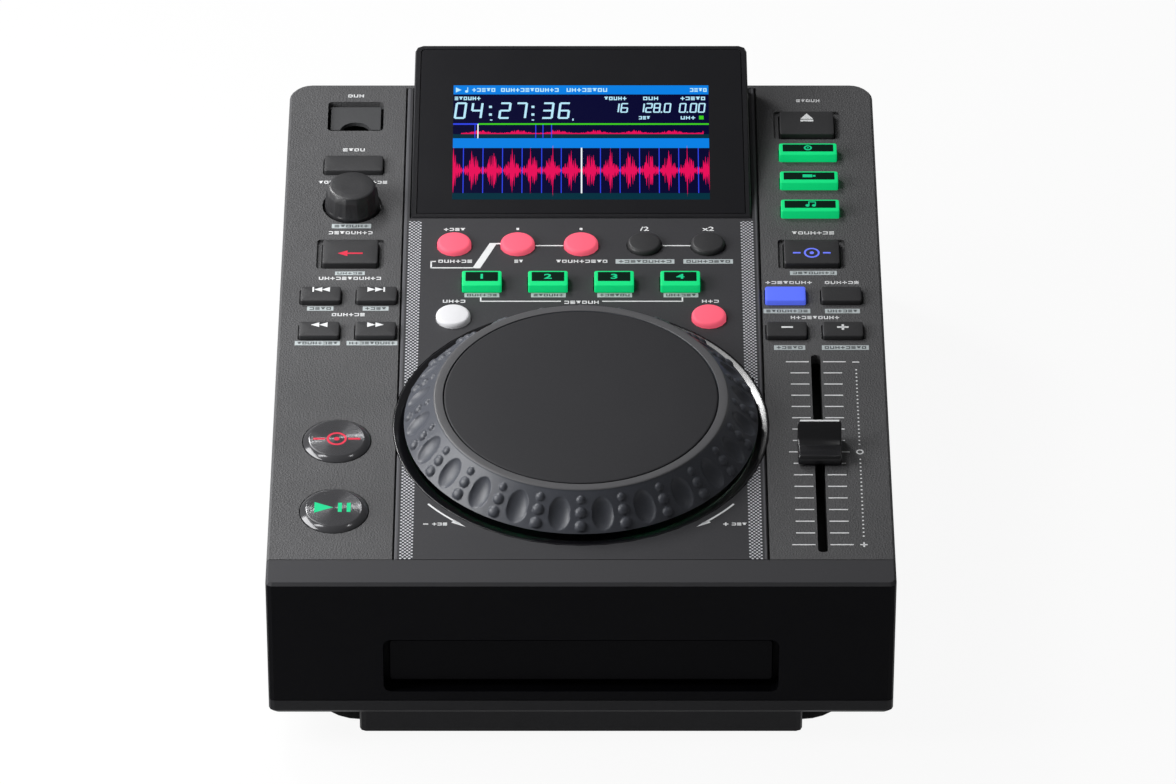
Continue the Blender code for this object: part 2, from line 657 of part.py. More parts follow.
def make_frame(name, place, tilt=0.0, parent=None):
    """Empty that carries the pieces made in its frame."""
    made = bpy.data.objects.new(name, None)
    bpy.context.scene.collection.objects.link(made)
    made.parent = parent
    made.location = place
    made.rotation_euler = (tilt, 0.0, 0.0)
    return made


# Controls that go through the deck

def rectangular_keys():
    """Name, x, row, size and finish of each rectangular key."""
    near = WING_LINE - PAIR_PITCH / 2
    far = WING_LINE + PAIR_PITCH / 2
    keys = [
        ("back_button", -WING_LINE, BACK_ROW, BACK_KEY, KEY_BLACK),
        ("reverse_button", -WING_LINE, REVERSE_ROW, WIDE_KEY, KEY_BLACK),
        ("track_back_button", -far, TRACK_ROW, SMALL_KEY, KEY_BLACK),
        ("track_forward_button", -near, TRACK_ROW, SMALL_KEY, KEY_BLACK),
        ("search_back_button", -far, SEARCH_ROW, SMALL_KEY, KEY_BLACK),
        ("search_forward_button", -near, SEARCH_ROW, SMALL_KEY, KEY_BLACK),
        ("eject_button", WING_LINE, EJECT_ROW, WIDE_KEY, KEY_BLACK),
        ("jog_mode_button", WING_LINE, REVERSE_ROW, WIDE_KEY, KEY_BLACK),
        ("key_lock_button", near, TRACK_ROW, SMALL_KEY, KEY_BLUE),
        ("tempo_tap_button", far, TRACK_ROW, SMALL_KEY, KEY_BLACK),
        ("bend_minus_button", near, SEARCH_ROW, SMALL_KEY, KEY_BLACK),
        ("bend_plus_button", far, SEARCH_ROW, SMALL_KEY, KEY_BLACK),
    ]
    for i, source in enumerate(("disc", "usb", "midi")):
        row = SOURCE_ROW - i * SOURCE_PITCH
        keys.append((source + "_source_button", WING_LINE, row, SOURCE_KEY, KEY_GREEN))
    for i in range(4):
        x = (i - 1.5) * HOT_CUE_PITCH
        keys.append((f"hot_cue_button_{i + 1}", x, HOT_CUE_ROW, HOT_CUE_KEY, KEY_GREEN))
    return keys


def round_buttons():
    """Name, x, row, diameter, height, number of sides and finish of each round button."""
    buttons = [
        ("cue_button", -CUE_LINE, CUE_ROW, CUE_DIAMETER, CUE_HEIGHT, CUE_SIDES, SPUN_BLACK),
        ("play_button", -CUE_LINE, PLAY_ROW, CUE_DIAMETER, CUE_HEIGHT, CUE_SIDES, SPUN_BLACK),
    ]
    small = [("shift_button", -SHIFT_LINE, SHIFT_ROW, KEY_WHITE),
             ("slip_button", SHIFT_LINE, SHIFT_ROW, KEY_PINK)]
    row = (("auto_loop", KEY_PINK), ("loop_in", KEY_PINK), ("loop_out", KEY_PINK),
           ("loop_halve", KEY_BLACK), ("loop_double", KEY_BLACK))
    for i, (name, finish) in enumerate(row):
        small.append((name + "_button", (i - 2) * LOOP_PITCH, LOOP_ROW, finish))
    for name, x, y, finish in small:
        buttons.append((name, x, y, LOOP_DIAMETER, LOOP_HEIGHT, BUTTON_SIDES, finish))
    return buttons


def stem_and_flange(outline_of):
    """Lower rings that every key and button shares: stem, then the flange that the deck holds down."""
    flange_top = UNDERSIDE - TOUCH_GAP
    flange_low = flange_top - KEY_FLANGE_THICKNESS
    stem = outline_of(-1)
    flange = outline_of(KEY_FLANGE)
    body = outline_of(0)
    return [at_height(stem, STEM_BOTTOM), at_height(stem, flange_low), at_height(flange, flange_low),
            at_height(flange, flange_top), at_height(body, flange_top)]


def make_key(name, x, row, size, finish, deck):
    """Rectangular key with a chamfered cap, a flange and a stem."""
    width, length, height = size

    def outline_of(growth):
        """Outline of the cap grown on every side; a negative growth asks for the stem's."""
        if growth < 0:
            return key_outline(KEY_STEM, KEY_STEM)
        return key_outline(width + 2 * growth, length + 2 * growth)

    top = key_outline(width - 2 * KEY_CHAMFER, length - 2 * KEY_CHAMFER, KEY_CORNER / 2)
    mesh = bmesh.new()
    add_rings(mesh, stem_and_flange(outline_of)
              + [at_height(outline_of(0), height - KEY_CHAMFER), at_height(top, height)])
    return piece(name, mesh, finish, deck, (x, row, 0.0))


def make_round_button(name, x, row, diameter, height, sides, finish, deck):
    """Round button: the wide ones have a chamfered flat top, the small ones a low dome."""
    radius = diameter / 2

    def outline_of(growth):
        """Circle of the cap grown by growth; a negative growth asks for the stem's."""
        if growth < 0:
            return circle(KEY_STEM / 2, sides)
        return circle(radius + growth, sides)

    if diameter == CUE_DIAMETER:
        cap = [(radius, height - CUE_CHAMFER), (radius - CUE_CHAMFER, height)]
    else:
        dome = height - LOOP_SHOULDER
        cap = [(radius, LOOP_SHOULDER)]
        for angle in (math.pi / 6, math.pi / 3):
            shrink = radius * (1 - math.cos(angle)) / 2
            cap.append((radius - shrink, LOOP_SHOULDER + dome * math.sin(angle)))
        cap.append((radius / 2, height))
    mesh = bmesh.new()
    add_rings(mesh, stem_and_flange(outline_of) + turned_rings(cap, sides))
    return piece(name, mesh, finish, deck, (x, row, 0.0))


def deck_holes(deck):
    """One guide with a hole for every key and button, the jog bowl and the fader's slot."""
    mesh = bmesh.new()
    low = UNDERSIDE - OVERRUN
    for name, x, row, size, finish in rectangular_keys():
        outline = key_outline(size[0] + 2 * SIDE_GAP, size[1] + 2 * SIDE_GAP)
        add_prism(mesh, outline, low, OVERRUN, x, row)
    for name, x, row, diameter, height, sides, finish in round_buttons():
        add_prism(mesh, circle(diameter / 2 + SIDE_GAP, sides), low, OVERRUN, x, row)
    add_prism(mesh, circle(BOWL_DIAMETER / 2, BOWL_SIDES), low, OVERRUN, 0.0, JOG_ROW)
    slot = rectangle(FADER_SLOT_WIDTH, 2 * FADER_HALF_SLOT, FADER_SLOT_WIDTH / 2 - EMBED)
    add_prism(mesh, slot, low, OVERRUN, WING_LINE, FADER_ROW)
    return guide("deck_holes", mesh, deck)


# Case, fascia and chassis

def case_rings(front, rear, front_radius, rear_radius, round_front):
    """Rings of a block under the sloped deck, with the deck's outer edge rounded off."""
    inset = EDGE_ROUND if round_front else 0.0
    wide = plan(-HALF_WIDTH, HALF_WIDTH, front, rear, front_radius, rear_radius,
                CASE_CORNER_STEPS)
    tight = plan(-HALF_WIDTH + EDGE_ROUND, HALF_WIDTH - EDGE_ROUND, front + inset,
                 rear - (EDGE_ROUND if rear_radius else 0.0),
                 max(front_radius - EDGE_ROUND / 2, 0.0), max(rear_radius - EDGE_ROUND, 0.0),
                 CASE_CORNER_STEPS)
    side = [(x, y, deck_height(y, EDGE_ROUND)) for x, y in wide]
    top = [(x, y, deck_height(y)) for x, y in tight]
    return [at_height(wide, SEAM_HEIGHT), side, top]


def hollow_rings(left, right, front, rear, low, thickness, rear_radius=0.0):
    """Rings of the space under the deck, thickness below its surface."""
    outline = plan(left, right, front, rear, 0.0, rear_radius)
    return [at_height(outline, low), [(x, y, deck_height(y, thickness)) for x, y in outline]]


def make_top_case(front, deck, holes):
    """Deck, sides and back in one shell, open below and behind the fascia."""
    split = BAND_DEPTH * math.cos(DECK_SLOPE)
    mesh = bmesh.new()
    add_rings(mesh, case_rings(split + TOUCH_GAP, CASE_DEPTH, 0.0, REAR_CORNER, False))
    case = piece("top_case", mesh, CASE_BLACK, front)

    inner = HALF_WIDTH - WALL
    mesh = bmesh.new()
    add_rings(mesh, hollow_rings(-inner, inner, split - OVERRUN, CASE_DEPTH - WALL,
                                 SEAM_HEIGHT - OVERRUN, DECK_THICKNESS, REAR_CORNER - WALL))
    cut(case, guide("case_hollow", mesh, front))

    mesh = bmesh.new()
    spots = [(side * BOSS_LINE, row) for side in (-1, 1) for row in BOSS_ROWS]
    between = (HOT_CUE_ROW + LOOP_ROW) / 2
    spots += [(side * LOOP_PITCH * 3 / 2, between) for side in (-1, 1)]
    for x, row in spots:
        add_prism(mesh, circle(BOSS_DIAMETER / 2, BUTTON_SIDES // 2), BOARD_TOP + TOUCH_GAP,
                  UNDERSIDE + EMBED, x, row)
    add_box(mesh, -WING_LINE - BAY_WIDTH / 2 - BAY_WALL, -WING_LINE + BAY_WIDTH / 2 + BAY_WALL,
            BAY_FRONT - BAY_WALL, BAY_REAR + BAY_WALL, -BAY_DEPTH - BAY_WALL, UNDERSIDE + EMBED)
    fuse(case, guide("bosses_and_bay", mesh, deck))

    cut(case, guide("plate_pocket", plate_pocket(), deck))
    cut(case, holes)
    cut(case, guide("deck_recesses", deck_recesses(), deck))
    cut(case, guide("deck_passages", deck_passages(), deck))
    cut(case, guide("door_bores", door_bores(), deck))

    mesh = bmesh.new()
    add_box(mesh, -PANEL_WINDOW_HALF_WIDTH, PANEL_WINDOW_HALF_WIDTH, CASE_DEPTH - WALL - OVERRUN,
            CASE_DEPTH + OVERRUN, PANEL_WINDOW_LOW, PANEL_WINDOW_HIGH)
    cut(case, guide("panel_window", mesh, front))
    return case


def plate_pocket():
    """Shallow pocket in the deck for the centre plate and the foot of the pod."""
    edge = PLATE_HALF_WIDTH + PLATE_GROOVE
    mesh = bmesh.new()
    add_box(mesh, -edge, edge, 0.0, POD_REAR + TOUCH_GAP, PLATE_FLOOR, OVERRUN)
    return mesh


def deck_recesses():
    """Blind recesses: round the wide keys, under the knob and in the USB bay."""
    mesh = bmesh.new()
    ring = rectangle(WIDE_KEY[0] + 2 * DIMPLE_MARGIN, WIDE_KEY[1] + 2 * DIMPLE_LENGTH_MARGIN,
                     DIMPLE_CORNER)
    for x, row in ((-WING_LINE, REVERSE_ROW), (WING_LINE, REVERSE_ROW), (WING_LINE, EJECT_ROW)):
        add_prism(mesh, ring, -DIMPLE_DEPTH, OVERRUN, x, row)
    add_prism(mesh, circle(KNOB_WELL_DIAMETER / 2, CUE_SIDES), -KNOB_WELL_DEPTH, OVERRUN,
              -WING_LINE, KNOB_ROW)
    bay = rectangle(BAY_WIDTH, BAY_REAR - BAY_FRONT, BAY_CORNER)
    add_prism(mesh, bay, -BAY_DEPTH, OVERRUN, -WING_LINE, (BAY_FRONT + BAY_REAR) / 2)
    return mesh


def deck_passages():
    """Holes from inside the recesses down: encoder shaft, USB socket and the display's hatch."""
    mesh = bmesh.new()
    shaft = circle(SHAFT_DIAMETER / 2 + SHAFT_HOLE_GAP, BUTTON_SIDES)
    add_prism(mesh, shaft, UNDERSIDE - OVERRUN, 0.0, -WING_LINE, KNOB_ROW)
    socket = rectangle(SOCKET_WIDTH + 2 * SIDE_GAP, SOCKET_LENGTH + 2 * SIDE_GAP)
    add_prism(mesh, socket, -BAY_DEPTH - BAY_WALL - OVERRUN, UNDERSIDE, -WING_LINE,
              (BAY_FRONT + BAY_REAR) / 2)
    half = LCD_WIDTH / 2 + LCD_HATCH_MARGIN
    front = POD_FRONT + LCD_START - LCD_HATCH_MARGIN / 2
    add_box(mesh, -half, half, front, POD_REAR - 2 * POD_WALL, UNDERSIDE - OVERRUN, OVERRUN)
    return mesh


def across(outline, left, right):
    """Rings of an outline of (y, z) carried along x."""
    return [[(x, y, z) for y, z in outline] for x in (left, right)]


def door_bores():
    """Bores in the bay's two side walls for the door's pins."""
    reach = DOOR_WIDTH / 2 + PIN_REACH + PIN_BORE_GAP
    bore = [(DOOR_AXIS_ROW + y, z - DOOR_AXIS_DROP)
            for y, z in circle(PIN_RADIUS + PIN_BORE_GAP, BUTTON_SIDES // 2)]
    mesh = bmesh.new()
    add_rings(mesh, across(bore, -WING_LINE - reach, -WING_LINE + reach))
    return mesh


def make_deck_plate(name, start, end, deck, holes):
    """Thin plate in the pocket: the bowl parts it into one before and one behind the jog wheel."""
    wide = plan(-PLATE_HALF_WIDTH, PLATE_HALF_WIDTH, start, end)
    edge = PLATE_HALF_WIDTH - PLATE_CHAMFER
    tight = plan(-edge, edge, start, end)
    mesh = bmesh.new()
    add_rings(mesh, [at_height(wide, -PLATE_THICKNESS), at_height(wide, -PLATE_CHAMFER),
                     at_height(tight, 0.0)])
    plate = piece(name, mesh, PLATE_GREY, deck)
    cut(plate, holes)
    return plate


def make_deck_plates(deck, holes):
    """Front plate, and the centre plate that also goes round the foot of the pod."""
    make_deck_plate("front_plate", BAND_DEPTH + TOUCH_GAP, JOG_ROW, deck, holes)
    centre = make_deck_plate("centre_plate", JOG_ROW, POD_REAR, deck, holes)
    mesh = bmesh.new()
    pod = POD_BASE_HALF_WIDTH + TOUCH_GAP
    add_box(mesh, -pod, pod, POD_FRONT - TOUCH_GAP, POD_REAR + OVERRUN, -OVERRUN, OVERRUN)
    cut(centre, guide("pod_cutout", mesh, deck))


def make_front_fascia(front, deck):
    """Front face and smooth front band in one moulding, with the collar of the tray's recess."""
    split = BAND_DEPTH * math.cos(DECK_SLOPE)
    mesh = bmesh.new()
    add_rings(mesh, case_rings(0.0, split, FRONT_CORNER, 0.0, True))
    fascia = piece("front_fascia", mesh, FASCIA_BLACK, front)
    inner = HALF_WIDTH - WALL
    mesh = bmesh.new()
    add_rings(mesh, hollow_rings(-inner, inner, WALL, split + OVERRUN, SEAM_HEIGHT - OVERRUN,
                                 DECK_THICKNESS))
    cut(fascia, guide("fascia_hollow", mesh, front))

    mesh = bmesh.new()
    outer = RECESS_HALF_WIDTH + COLLAR_WALL
    add_box(mesh, -outer, outer, WALL - EMBED, RECESS_DEPTH + COLLAR_LIP, RECESS_LOW - COLLAR_WALL,
            RECESS_HIGH + COLLAR_WALL)
    fuse(fascia, guide("tray_collar", mesh, front))
    cut(fascia, guide("tray_recess", tray_recess(), front))

    mesh = bmesh.new()
    side = TRAY_HALF_WIDTH + TRAY_PASS_GAP
    add_box(mesh, -side, side, RECESS_DEPTH - OVERRUN, RECESS_DEPTH + COLLAR_LIP + OVERRUN,
            TRAY_LOW - TRAY_PASS_GAP, TRAY_HIGH + TRAY_PASS_GAP)
    cut(fascia, guide("tray_passage", mesh, front))
    return fascia


def facing(outline, front, rear):
    """Rings of an outline of (x, z) carried along y."""
    return [[(x, y, z) for x, z in outline] for y in (front, rear)]


def tray_recess():
    """Round-cornered recess in the front face, as deep as its collar."""
    outline = plan(-RECESS_HALF_WIDTH, RECESS_HALF_WIDTH, RECESS_LOW, RECESS_HIGH, RECESS_CORNER,
                   RECESS_CORNER)
    mesh = bmesh.new()
    add_rings(mesh, facing(outline, -OVERRUN, RECESS_DEPTH))
    return mesh


def foot_spots():
    """Name and place of each foot in the front frame."""
    rows = (("front", FOOT_FRONT_SETBACK), ("rear", CASE_DEPTH - FOOT_REAR_SETBACK))
    return [(f"foot_{row}_{side}", sign * FOOT_LINE, y)
            for row, y in rows for side, sign in (("left", -1), ("right", 1))]


def chassis_posts():
    """Places of the posts in the front frame: x, y, foot height and top height."""
    posts = []
    drive_rows = (DRIVE_FRONT + DRIVE_POST_INSET, DRIVE_REAR - DRIVE_POST_INSET)
    main_rows = (MAIN_BOARD_FRONT + MAIN_POST_INSET, MAIN_BOARD_REAR - BELLY_REAR_SETBACK)
    power_rows = (POWER_BOARD_FRONT + POWER_POST_INSET,
                  POWER_BOARD_FRONT + POWER_BOARD_LENGTH - POWER_POST_INSET)
    for side in (-1, 1):
        for y in drive_rows:
            posts.append((side * DRIVE_POST_LINE, y, BELLY_FLOOR, DRIVE_LOW))
        for y in main_rows:
            posts.append((side * MAIN_POST_LINE, y, BELLY_FLOOR, MAIN_BOARD_HEIGHT))
        for y in power_rows:
            x = side * (POWER_BOARD_WIDTH / 2 - POWER_POST_INSET) - POWER_BOARD_LINE
            posts.append((x, y, PAN_FLOOR, POWER_BOARD_HEIGHT))
    return posts


def belly_block(inset, low, high):
    """Block of the belly, or of the space in it, with bays that clear the round feet."""
    front = BELLY_FRONT_SETBACK + inset
    rear = CASE_DEPTH - BELLY_REAR_SETBACK - inset
    side = BELLY_HALF_WIDTH - inset
    mesh = bmesh.new()
    add_prism(mesh, plan(-side, side, front, rear, BELLY_CORNER, BELLY_CORNER), low, high)
    bays = bmesh.new()
    for name, x, y in foot_spots():
        add_prism(bays, circle(FOOT_DIAMETER / 2 + FOOT_BAY_GAP + inset, CUE_SIDES), low - OVERRUN,
                  high + OVERRUN, x, y)
    return mesh, bays


def make_bottom_chassis(front):
    """Folded pan with its belly, foot bays and posts."""
    foot = CHASSIS_TAPER
    low = plan(-HALF_WIDTH + foot, HALF_WIDTH - foot, foot, CASE_DEPTH - foot, FRONT_CORNER,
               REAR_CORNER, CASE_CORNER_STEPS)
    wide = plan(-HALF_WIDTH, HALF_WIDTH, 0.0, CASE_DEPTH, FRONT_CORNER, REAR_CORNER,
                CASE_CORNER_STEPS)
    mesh = bmesh.new()
    add_rings(mesh, [at_height(low, CHASSIS_HEIGHT),
                     at_height(wide, CHASSIS_HEIGHT + CHASSIS_TAPER_HEIGHT),
                     at_height(wide, SEAM_HEIGHT - TOUCH_GAP)])
    chassis = piece("bottom_chassis", mesh, FASCIA_BLACK, front)
    sheet = CHASSIS_SHEET
    mesh = bmesh.new()
    add_prism(mesh, plan(-HALF_WIDTH + sheet, HALF_WIDTH - sheet, sheet, CASE_DEPTH - sheet,
                         FRONT_CORNER, REAR_CORNER), PAN_FLOOR, SEAM_HEIGHT + OVERRUN)
    cut(chassis, guide("pan_hollow", mesh, front))

    block, bays = belly_block(0.0, BELLY_HEIGHT, CHASSIS_HEIGHT + EMBED)
    belly = guide("belly", block, front)
    cut(belly, guide("foot_bays", bays, front))
    fuse(chassis, belly)
    block, bays = belly_block(sheet, BELLY_FLOOR, PAN_FLOOR + EMBED)
    space = guide("belly_space", block, front)
    cut(space, guide("foot_bay_walls", bays, front))
    cut(chassis, space)

    mesh = bmesh.new()
    for x, y, foot_height, top in chassis_posts():
        add_prism(mesh, circle(POST_DIAMETER / 2, BUTTON_SIDES // 2), foot_height - EMBED,
                  top - TOUCH_GAP, x, y)
    fuse(chassis, guide("posts", mesh, front))


def make_rear_panel(front):
    """Upright plate on the pan's floor behind the window in the case, holed for the jacks."""
    mesh = bmesh.new()
    add_box(mesh, -PANEL_HALF_WIDTH, PANEL_HALF_WIDTH, PANEL_FACE - PANEL_THICKNESS, PANEL_FACE,
            PAN_FLOOR + TOUCH_GAP, PANEL_HIGH)
    panel = piece("rear_panel", mesh, FASCIA_BLACK, front)
    cut(panel, guide("panel_holes", panel_holes(), front))


def jack_spots():
    """Places of the round jacks along the rear panel."""
    return [JACK_START + i * JACK_PITCH for i in range(JACK_COUNT)]


def panel_holes():
    """Holes of the rear panel for the jacks, the USB-B socket and the mains inlet."""
    near = PANEL_FACE - PANEL_THICKNESS - OVERRUN
    far = PANEL_FACE + OVERRUN
    mesh = bmesh.new()
    for x in jack_spots():
        hole = [(x + a, JACK_HEIGHT + b) for a, b in circle(JACK_RADIUS + SIDE_GAP, BUTTON_SIDES)]
        add_rings(mesh, facing(hole, near, far))
    half = USB_B_WIDTH / 2 + SIDE_GAP
    rise = USB_B_HEIGHT / 2 + SIDE_GAP
    add_box(mesh, USB_B_LINE - half, USB_B_LINE + half, near, far, JACK_HEIGHT - rise,
            JACK_HEIGHT + rise)
    half = INLET_WIDTH / 2 - INLET_FLANGE_RIM + SIDE_GAP
    rise = INLET_FLANGE_HEIGHT / 2 - INLET_FLANGE_RIM + SIDE_GAP
    add_box(mesh, -INLET_LINE - half, -INLET_LINE + half, near, far, INLET_HEIGHT - rise,
            INLET_HEIGHT + rise)
    return mesh


def make_feet(front):
    """Four round feet in the bays of the belly."""
    radius = FOOT_DIAMETER / 2
    profile = [(radius - FOOT_TREAD_STEP, 0.0), (radius, FOOT_TREAD_STEP),
               (radius, CHASSIS_HEIGHT - TOUCH_GAP)]
    for name, x, y in foot_spots():
        mesh = bmesh.new()
        add_rings(mesh, turned_rings(profile, CUE_SIDES))
        piece(name, mesh, FOOT_RUBBER, front, (x, y, 0.0))


# Screen pod

def pod_outline(half_low, half_high, start, end, radius):
    """Face of the pod as (x, s): a trapezium with round corners at its far end."""
    low = [(-half_low, start), (half_low, start)]
    far = (corner_arc(half_high - radius, end - radius, radius, 0)
           + corner_arc(-half_high + radius, end - radius, radius, math.pi / 2))
    return low[1:] + far + low[:1]


def on_face(outline, depth):
    """Ring on the pod's face, depth below it, in the deck frame."""
    rise = math.sin(POD_FACE_TILT)
    run = math.cos(POD_FACE_TILT)
    return [(x, POD_FRONT + s * run + depth * rise, s * rise - depth * run) for x, s in outline]


def on_floor(outline, height):
    """The same ring at the pod's foot, drawn in so that the back leans."""
    share = (POD_REAR - POD_FRONT) / POD_FACE_LENGTH
    return [(x, POD_FRONT + s * share, height) for x, s in outline]


def make_screen_housing(deck, screen):
    """Hood that carries the window, open below, its foot in the deck's pocket."""
    base = POD_BASE_HALF_WIDTH
    top = POD_TOP_HALF_WIDTH
    length = POD_FACE_LENGTH
    outer = pod_outline(base, top, 0.0, length, POD_CORNER)
    tight = pod_outline(base - POD_EDGE, top - POD_EDGE, POD_EDGE, length - POD_EDGE,
                        POD_CORNER - POD_EDGE)
    foot = pod_outline(base, base, 0.0, length, POD_CORNER)
    mesh = bmesh.new()
    add_rings(mesh, [on_floor(foot, PLATE_FLOOR + TOUCH_GAP), on_floor(outer, 0.0),
                     on_face(outer, POD_EDGE), on_face(tight, 0.0)])
    housing = piece("screen_housing", mesh, FASCIA_BLACK, deck)

    wall = POD_WALL
    inner = pod_outline(base - wall, top - wall, POD_LIP, length - wall, POD_CORNER - wall / 2)
    mesh = bmesh.new()
    add_rings(mesh, [on_floor(inner, PLATE_FLOOR - OVERRUN), on_face(inner, POD_FACE_THICKNESS)])
    cut(housing, guide("pod_hollow", mesh, deck))

    mesh = bmesh.new()
    add_rings(mesh, [at_height(window_outline(0.0), SCREEN_FLOOR),
                     at_height(window_outline(0.0), OVERRUN)])
    cut(housing, guide("window_pocket", mesh, screen))
    mesh = bmesh.new()
    half = LCD_WIDTH / 2 + SIDE_GAP
    add_box(mesh, -half, half, LCD_START - SIDE_GAP, LCD_START + LCD_LENGTH + SIDE_GAP,
            -POD_FACE_THICKNESS - OVERRUN, OVERRUN)
    cut(housing, guide("lcd_opening", mesh, screen))
    return housing


def window_outline(inset):
    """Outline of the glossy window in the screen frame, or of its pocket without inset."""
    margin = WINDOW_MARGIN + inset
    return pod_outline(POD_BASE_HALF_WIDTH - margin, POD_TOP_HALF_WIDTH - margin, margin,
                       POD_FACE_LENGTH - margin, WINDOW_CORNER)


def make_screen(screen):
    """Window and the display behind it."""
    outline = window_outline(TOUCH_GAP)
    mesh = bmesh.new()
    add_rings(mesh, [at_height(outline, SCREEN_FLOOR + TOUCH_GAP), at_height(outline, 0.0)])
    piece("screen_window", mesh, GLOSS_BLACK, screen)
    mesh = bmesh.new()
    high = SCREEN_FLOOR
    add_box(mesh, -LCD_WIDTH / 2, LCD_WIDTH / 2, LCD_START, LCD_START + LCD_LENGTH,
            high - LCD_THICKNESS, high)
    piece("lcd_module", mesh, DISPLAY_BLUE, screen)


# Browse knob, fader and jog wheel

def make_browse_knob(deck):
    """Encoder rotor that turns, and the faceted knob that also pushes."""
    place = (-WING_LINE, KNOB_ROW, 0.0)
    bottom = BOARD_TOP + ENCODER_HEIGHT + TOUCH_GAP
    mesh = bmesh.new()
    add_prism(mesh, circle(SHAFT_DIAMETER / 2, BUTTON_SIDES), bottom, SHAFT_TOP)
    piece("encoder_rotor", mesh, STEEL, deck, place)

    base = KNOB_BASE_DIAMETER / 2
    top = KNOB_TOP_DIAMETER / 2
    side = [(base, -KNOB_DROP), (base, KNOB_SKIRT_HEIGHT),
            (top + KNOB_CHAMFER / 2, KNOB_HEIGHT - KNOB_CHAMFER),
            (top - KNOB_CHAMFER / 2, KNOB_HEIGHT)]
    bore = SHAFT_DIAMETER / 2 + TOUCH_GAP
    roof = KNOB_HEIGHT - KNOB_ROOF
    mesh = bmesh.new()
    add_rings(mesh, turned_rings([(bore, roof), (bore, -KNOB_DROP)] + side, KNOB_FACETS))
    piece("browse_knob", mesh, KEY_BLACK, deck, place)


def fader_cap_outline():
    """Side view of the cap as (y, z): low lip in front, scoop, tall ridge behind."""
    half = FADER_CAP_LENGTH / 2
    low = FADER_CAP_LIFT
    ridge = FADER_CAP_RIDGE
    waist = half - FADER_RIDGE_WIDTH
    return [(-half, low), (half, low), (half, low + FADER_CAP_SKIRT), (waist, ridge),
            (waist - FADER_RIDGE_WIDTH / 2, ridge), (0.0, FADER_CAP_SCOOP),
            (-half / 2, FADER_CAP_SCOOP), (-half, FADER_CAP_LIP)]


def make_pitch_fader(deck):
    """Cap with its stem through the slot, down into the track on the control board."""
    half = FADER_CAP_WIDTH / 2
    mesh = bmesh.new()
    add_rings(mesh, across(fader_cap_outline(), -half, half))
    cap = piece("pitch_fader", mesh, KEY_BLACK, deck, (WING_LINE, FADER_ROW, 0.0))
    channel = UNDERSIDE - TOUCH_GAP - FADER_CHANNEL_DEPTH
    mesh = bmesh.new()
    add_prism(mesh, rectangle(FADER_STEM_WIDTH, FADER_STEM_LENGTH), channel + TOUCH_GAP,
              FADER_CAP_LIFT + EMBED)
    fuse(cap, guide("fader_stem", mesh, deck, (WING_LINE, FADER_ROW, 0.0)))


def jog_skirt_rings(sides):
    """Skirt of the wheel, pressed in by an oval grip dimple once in every repeat."""
    foot = JOG_SKIRT_DIAMETER / 2
    shoulder = JOG_SHOULDER_DIAMETER / 2
    rise = JOG_HEIGHT - JOG_SHOULDER_DROP - JOG_SKIRT_HEIGHT
    step_shares = (0.0, 0.15, 0.85, 1.0)
    press_shares = (0.4, 1.0, 1.0, 0.0)
    rings = []
    for step, press in zip(step_shares, press_shares):
        radius = foot + (shoulder - foot) * step
        ring = []
        for i in range(sides):
            angle = math.tau * i / sides
            dip = max(0.0, math.cos(JOG_GRIPS * angle)) * press * JOG_GRIP_DEPTH
            ring.append(((radius - dip) * math.cos(angle), (radius - dip) * math.sin(angle),
                         JOG_SKIRT_HEIGHT + rise * step))
        rings.append(ring)
    return rings


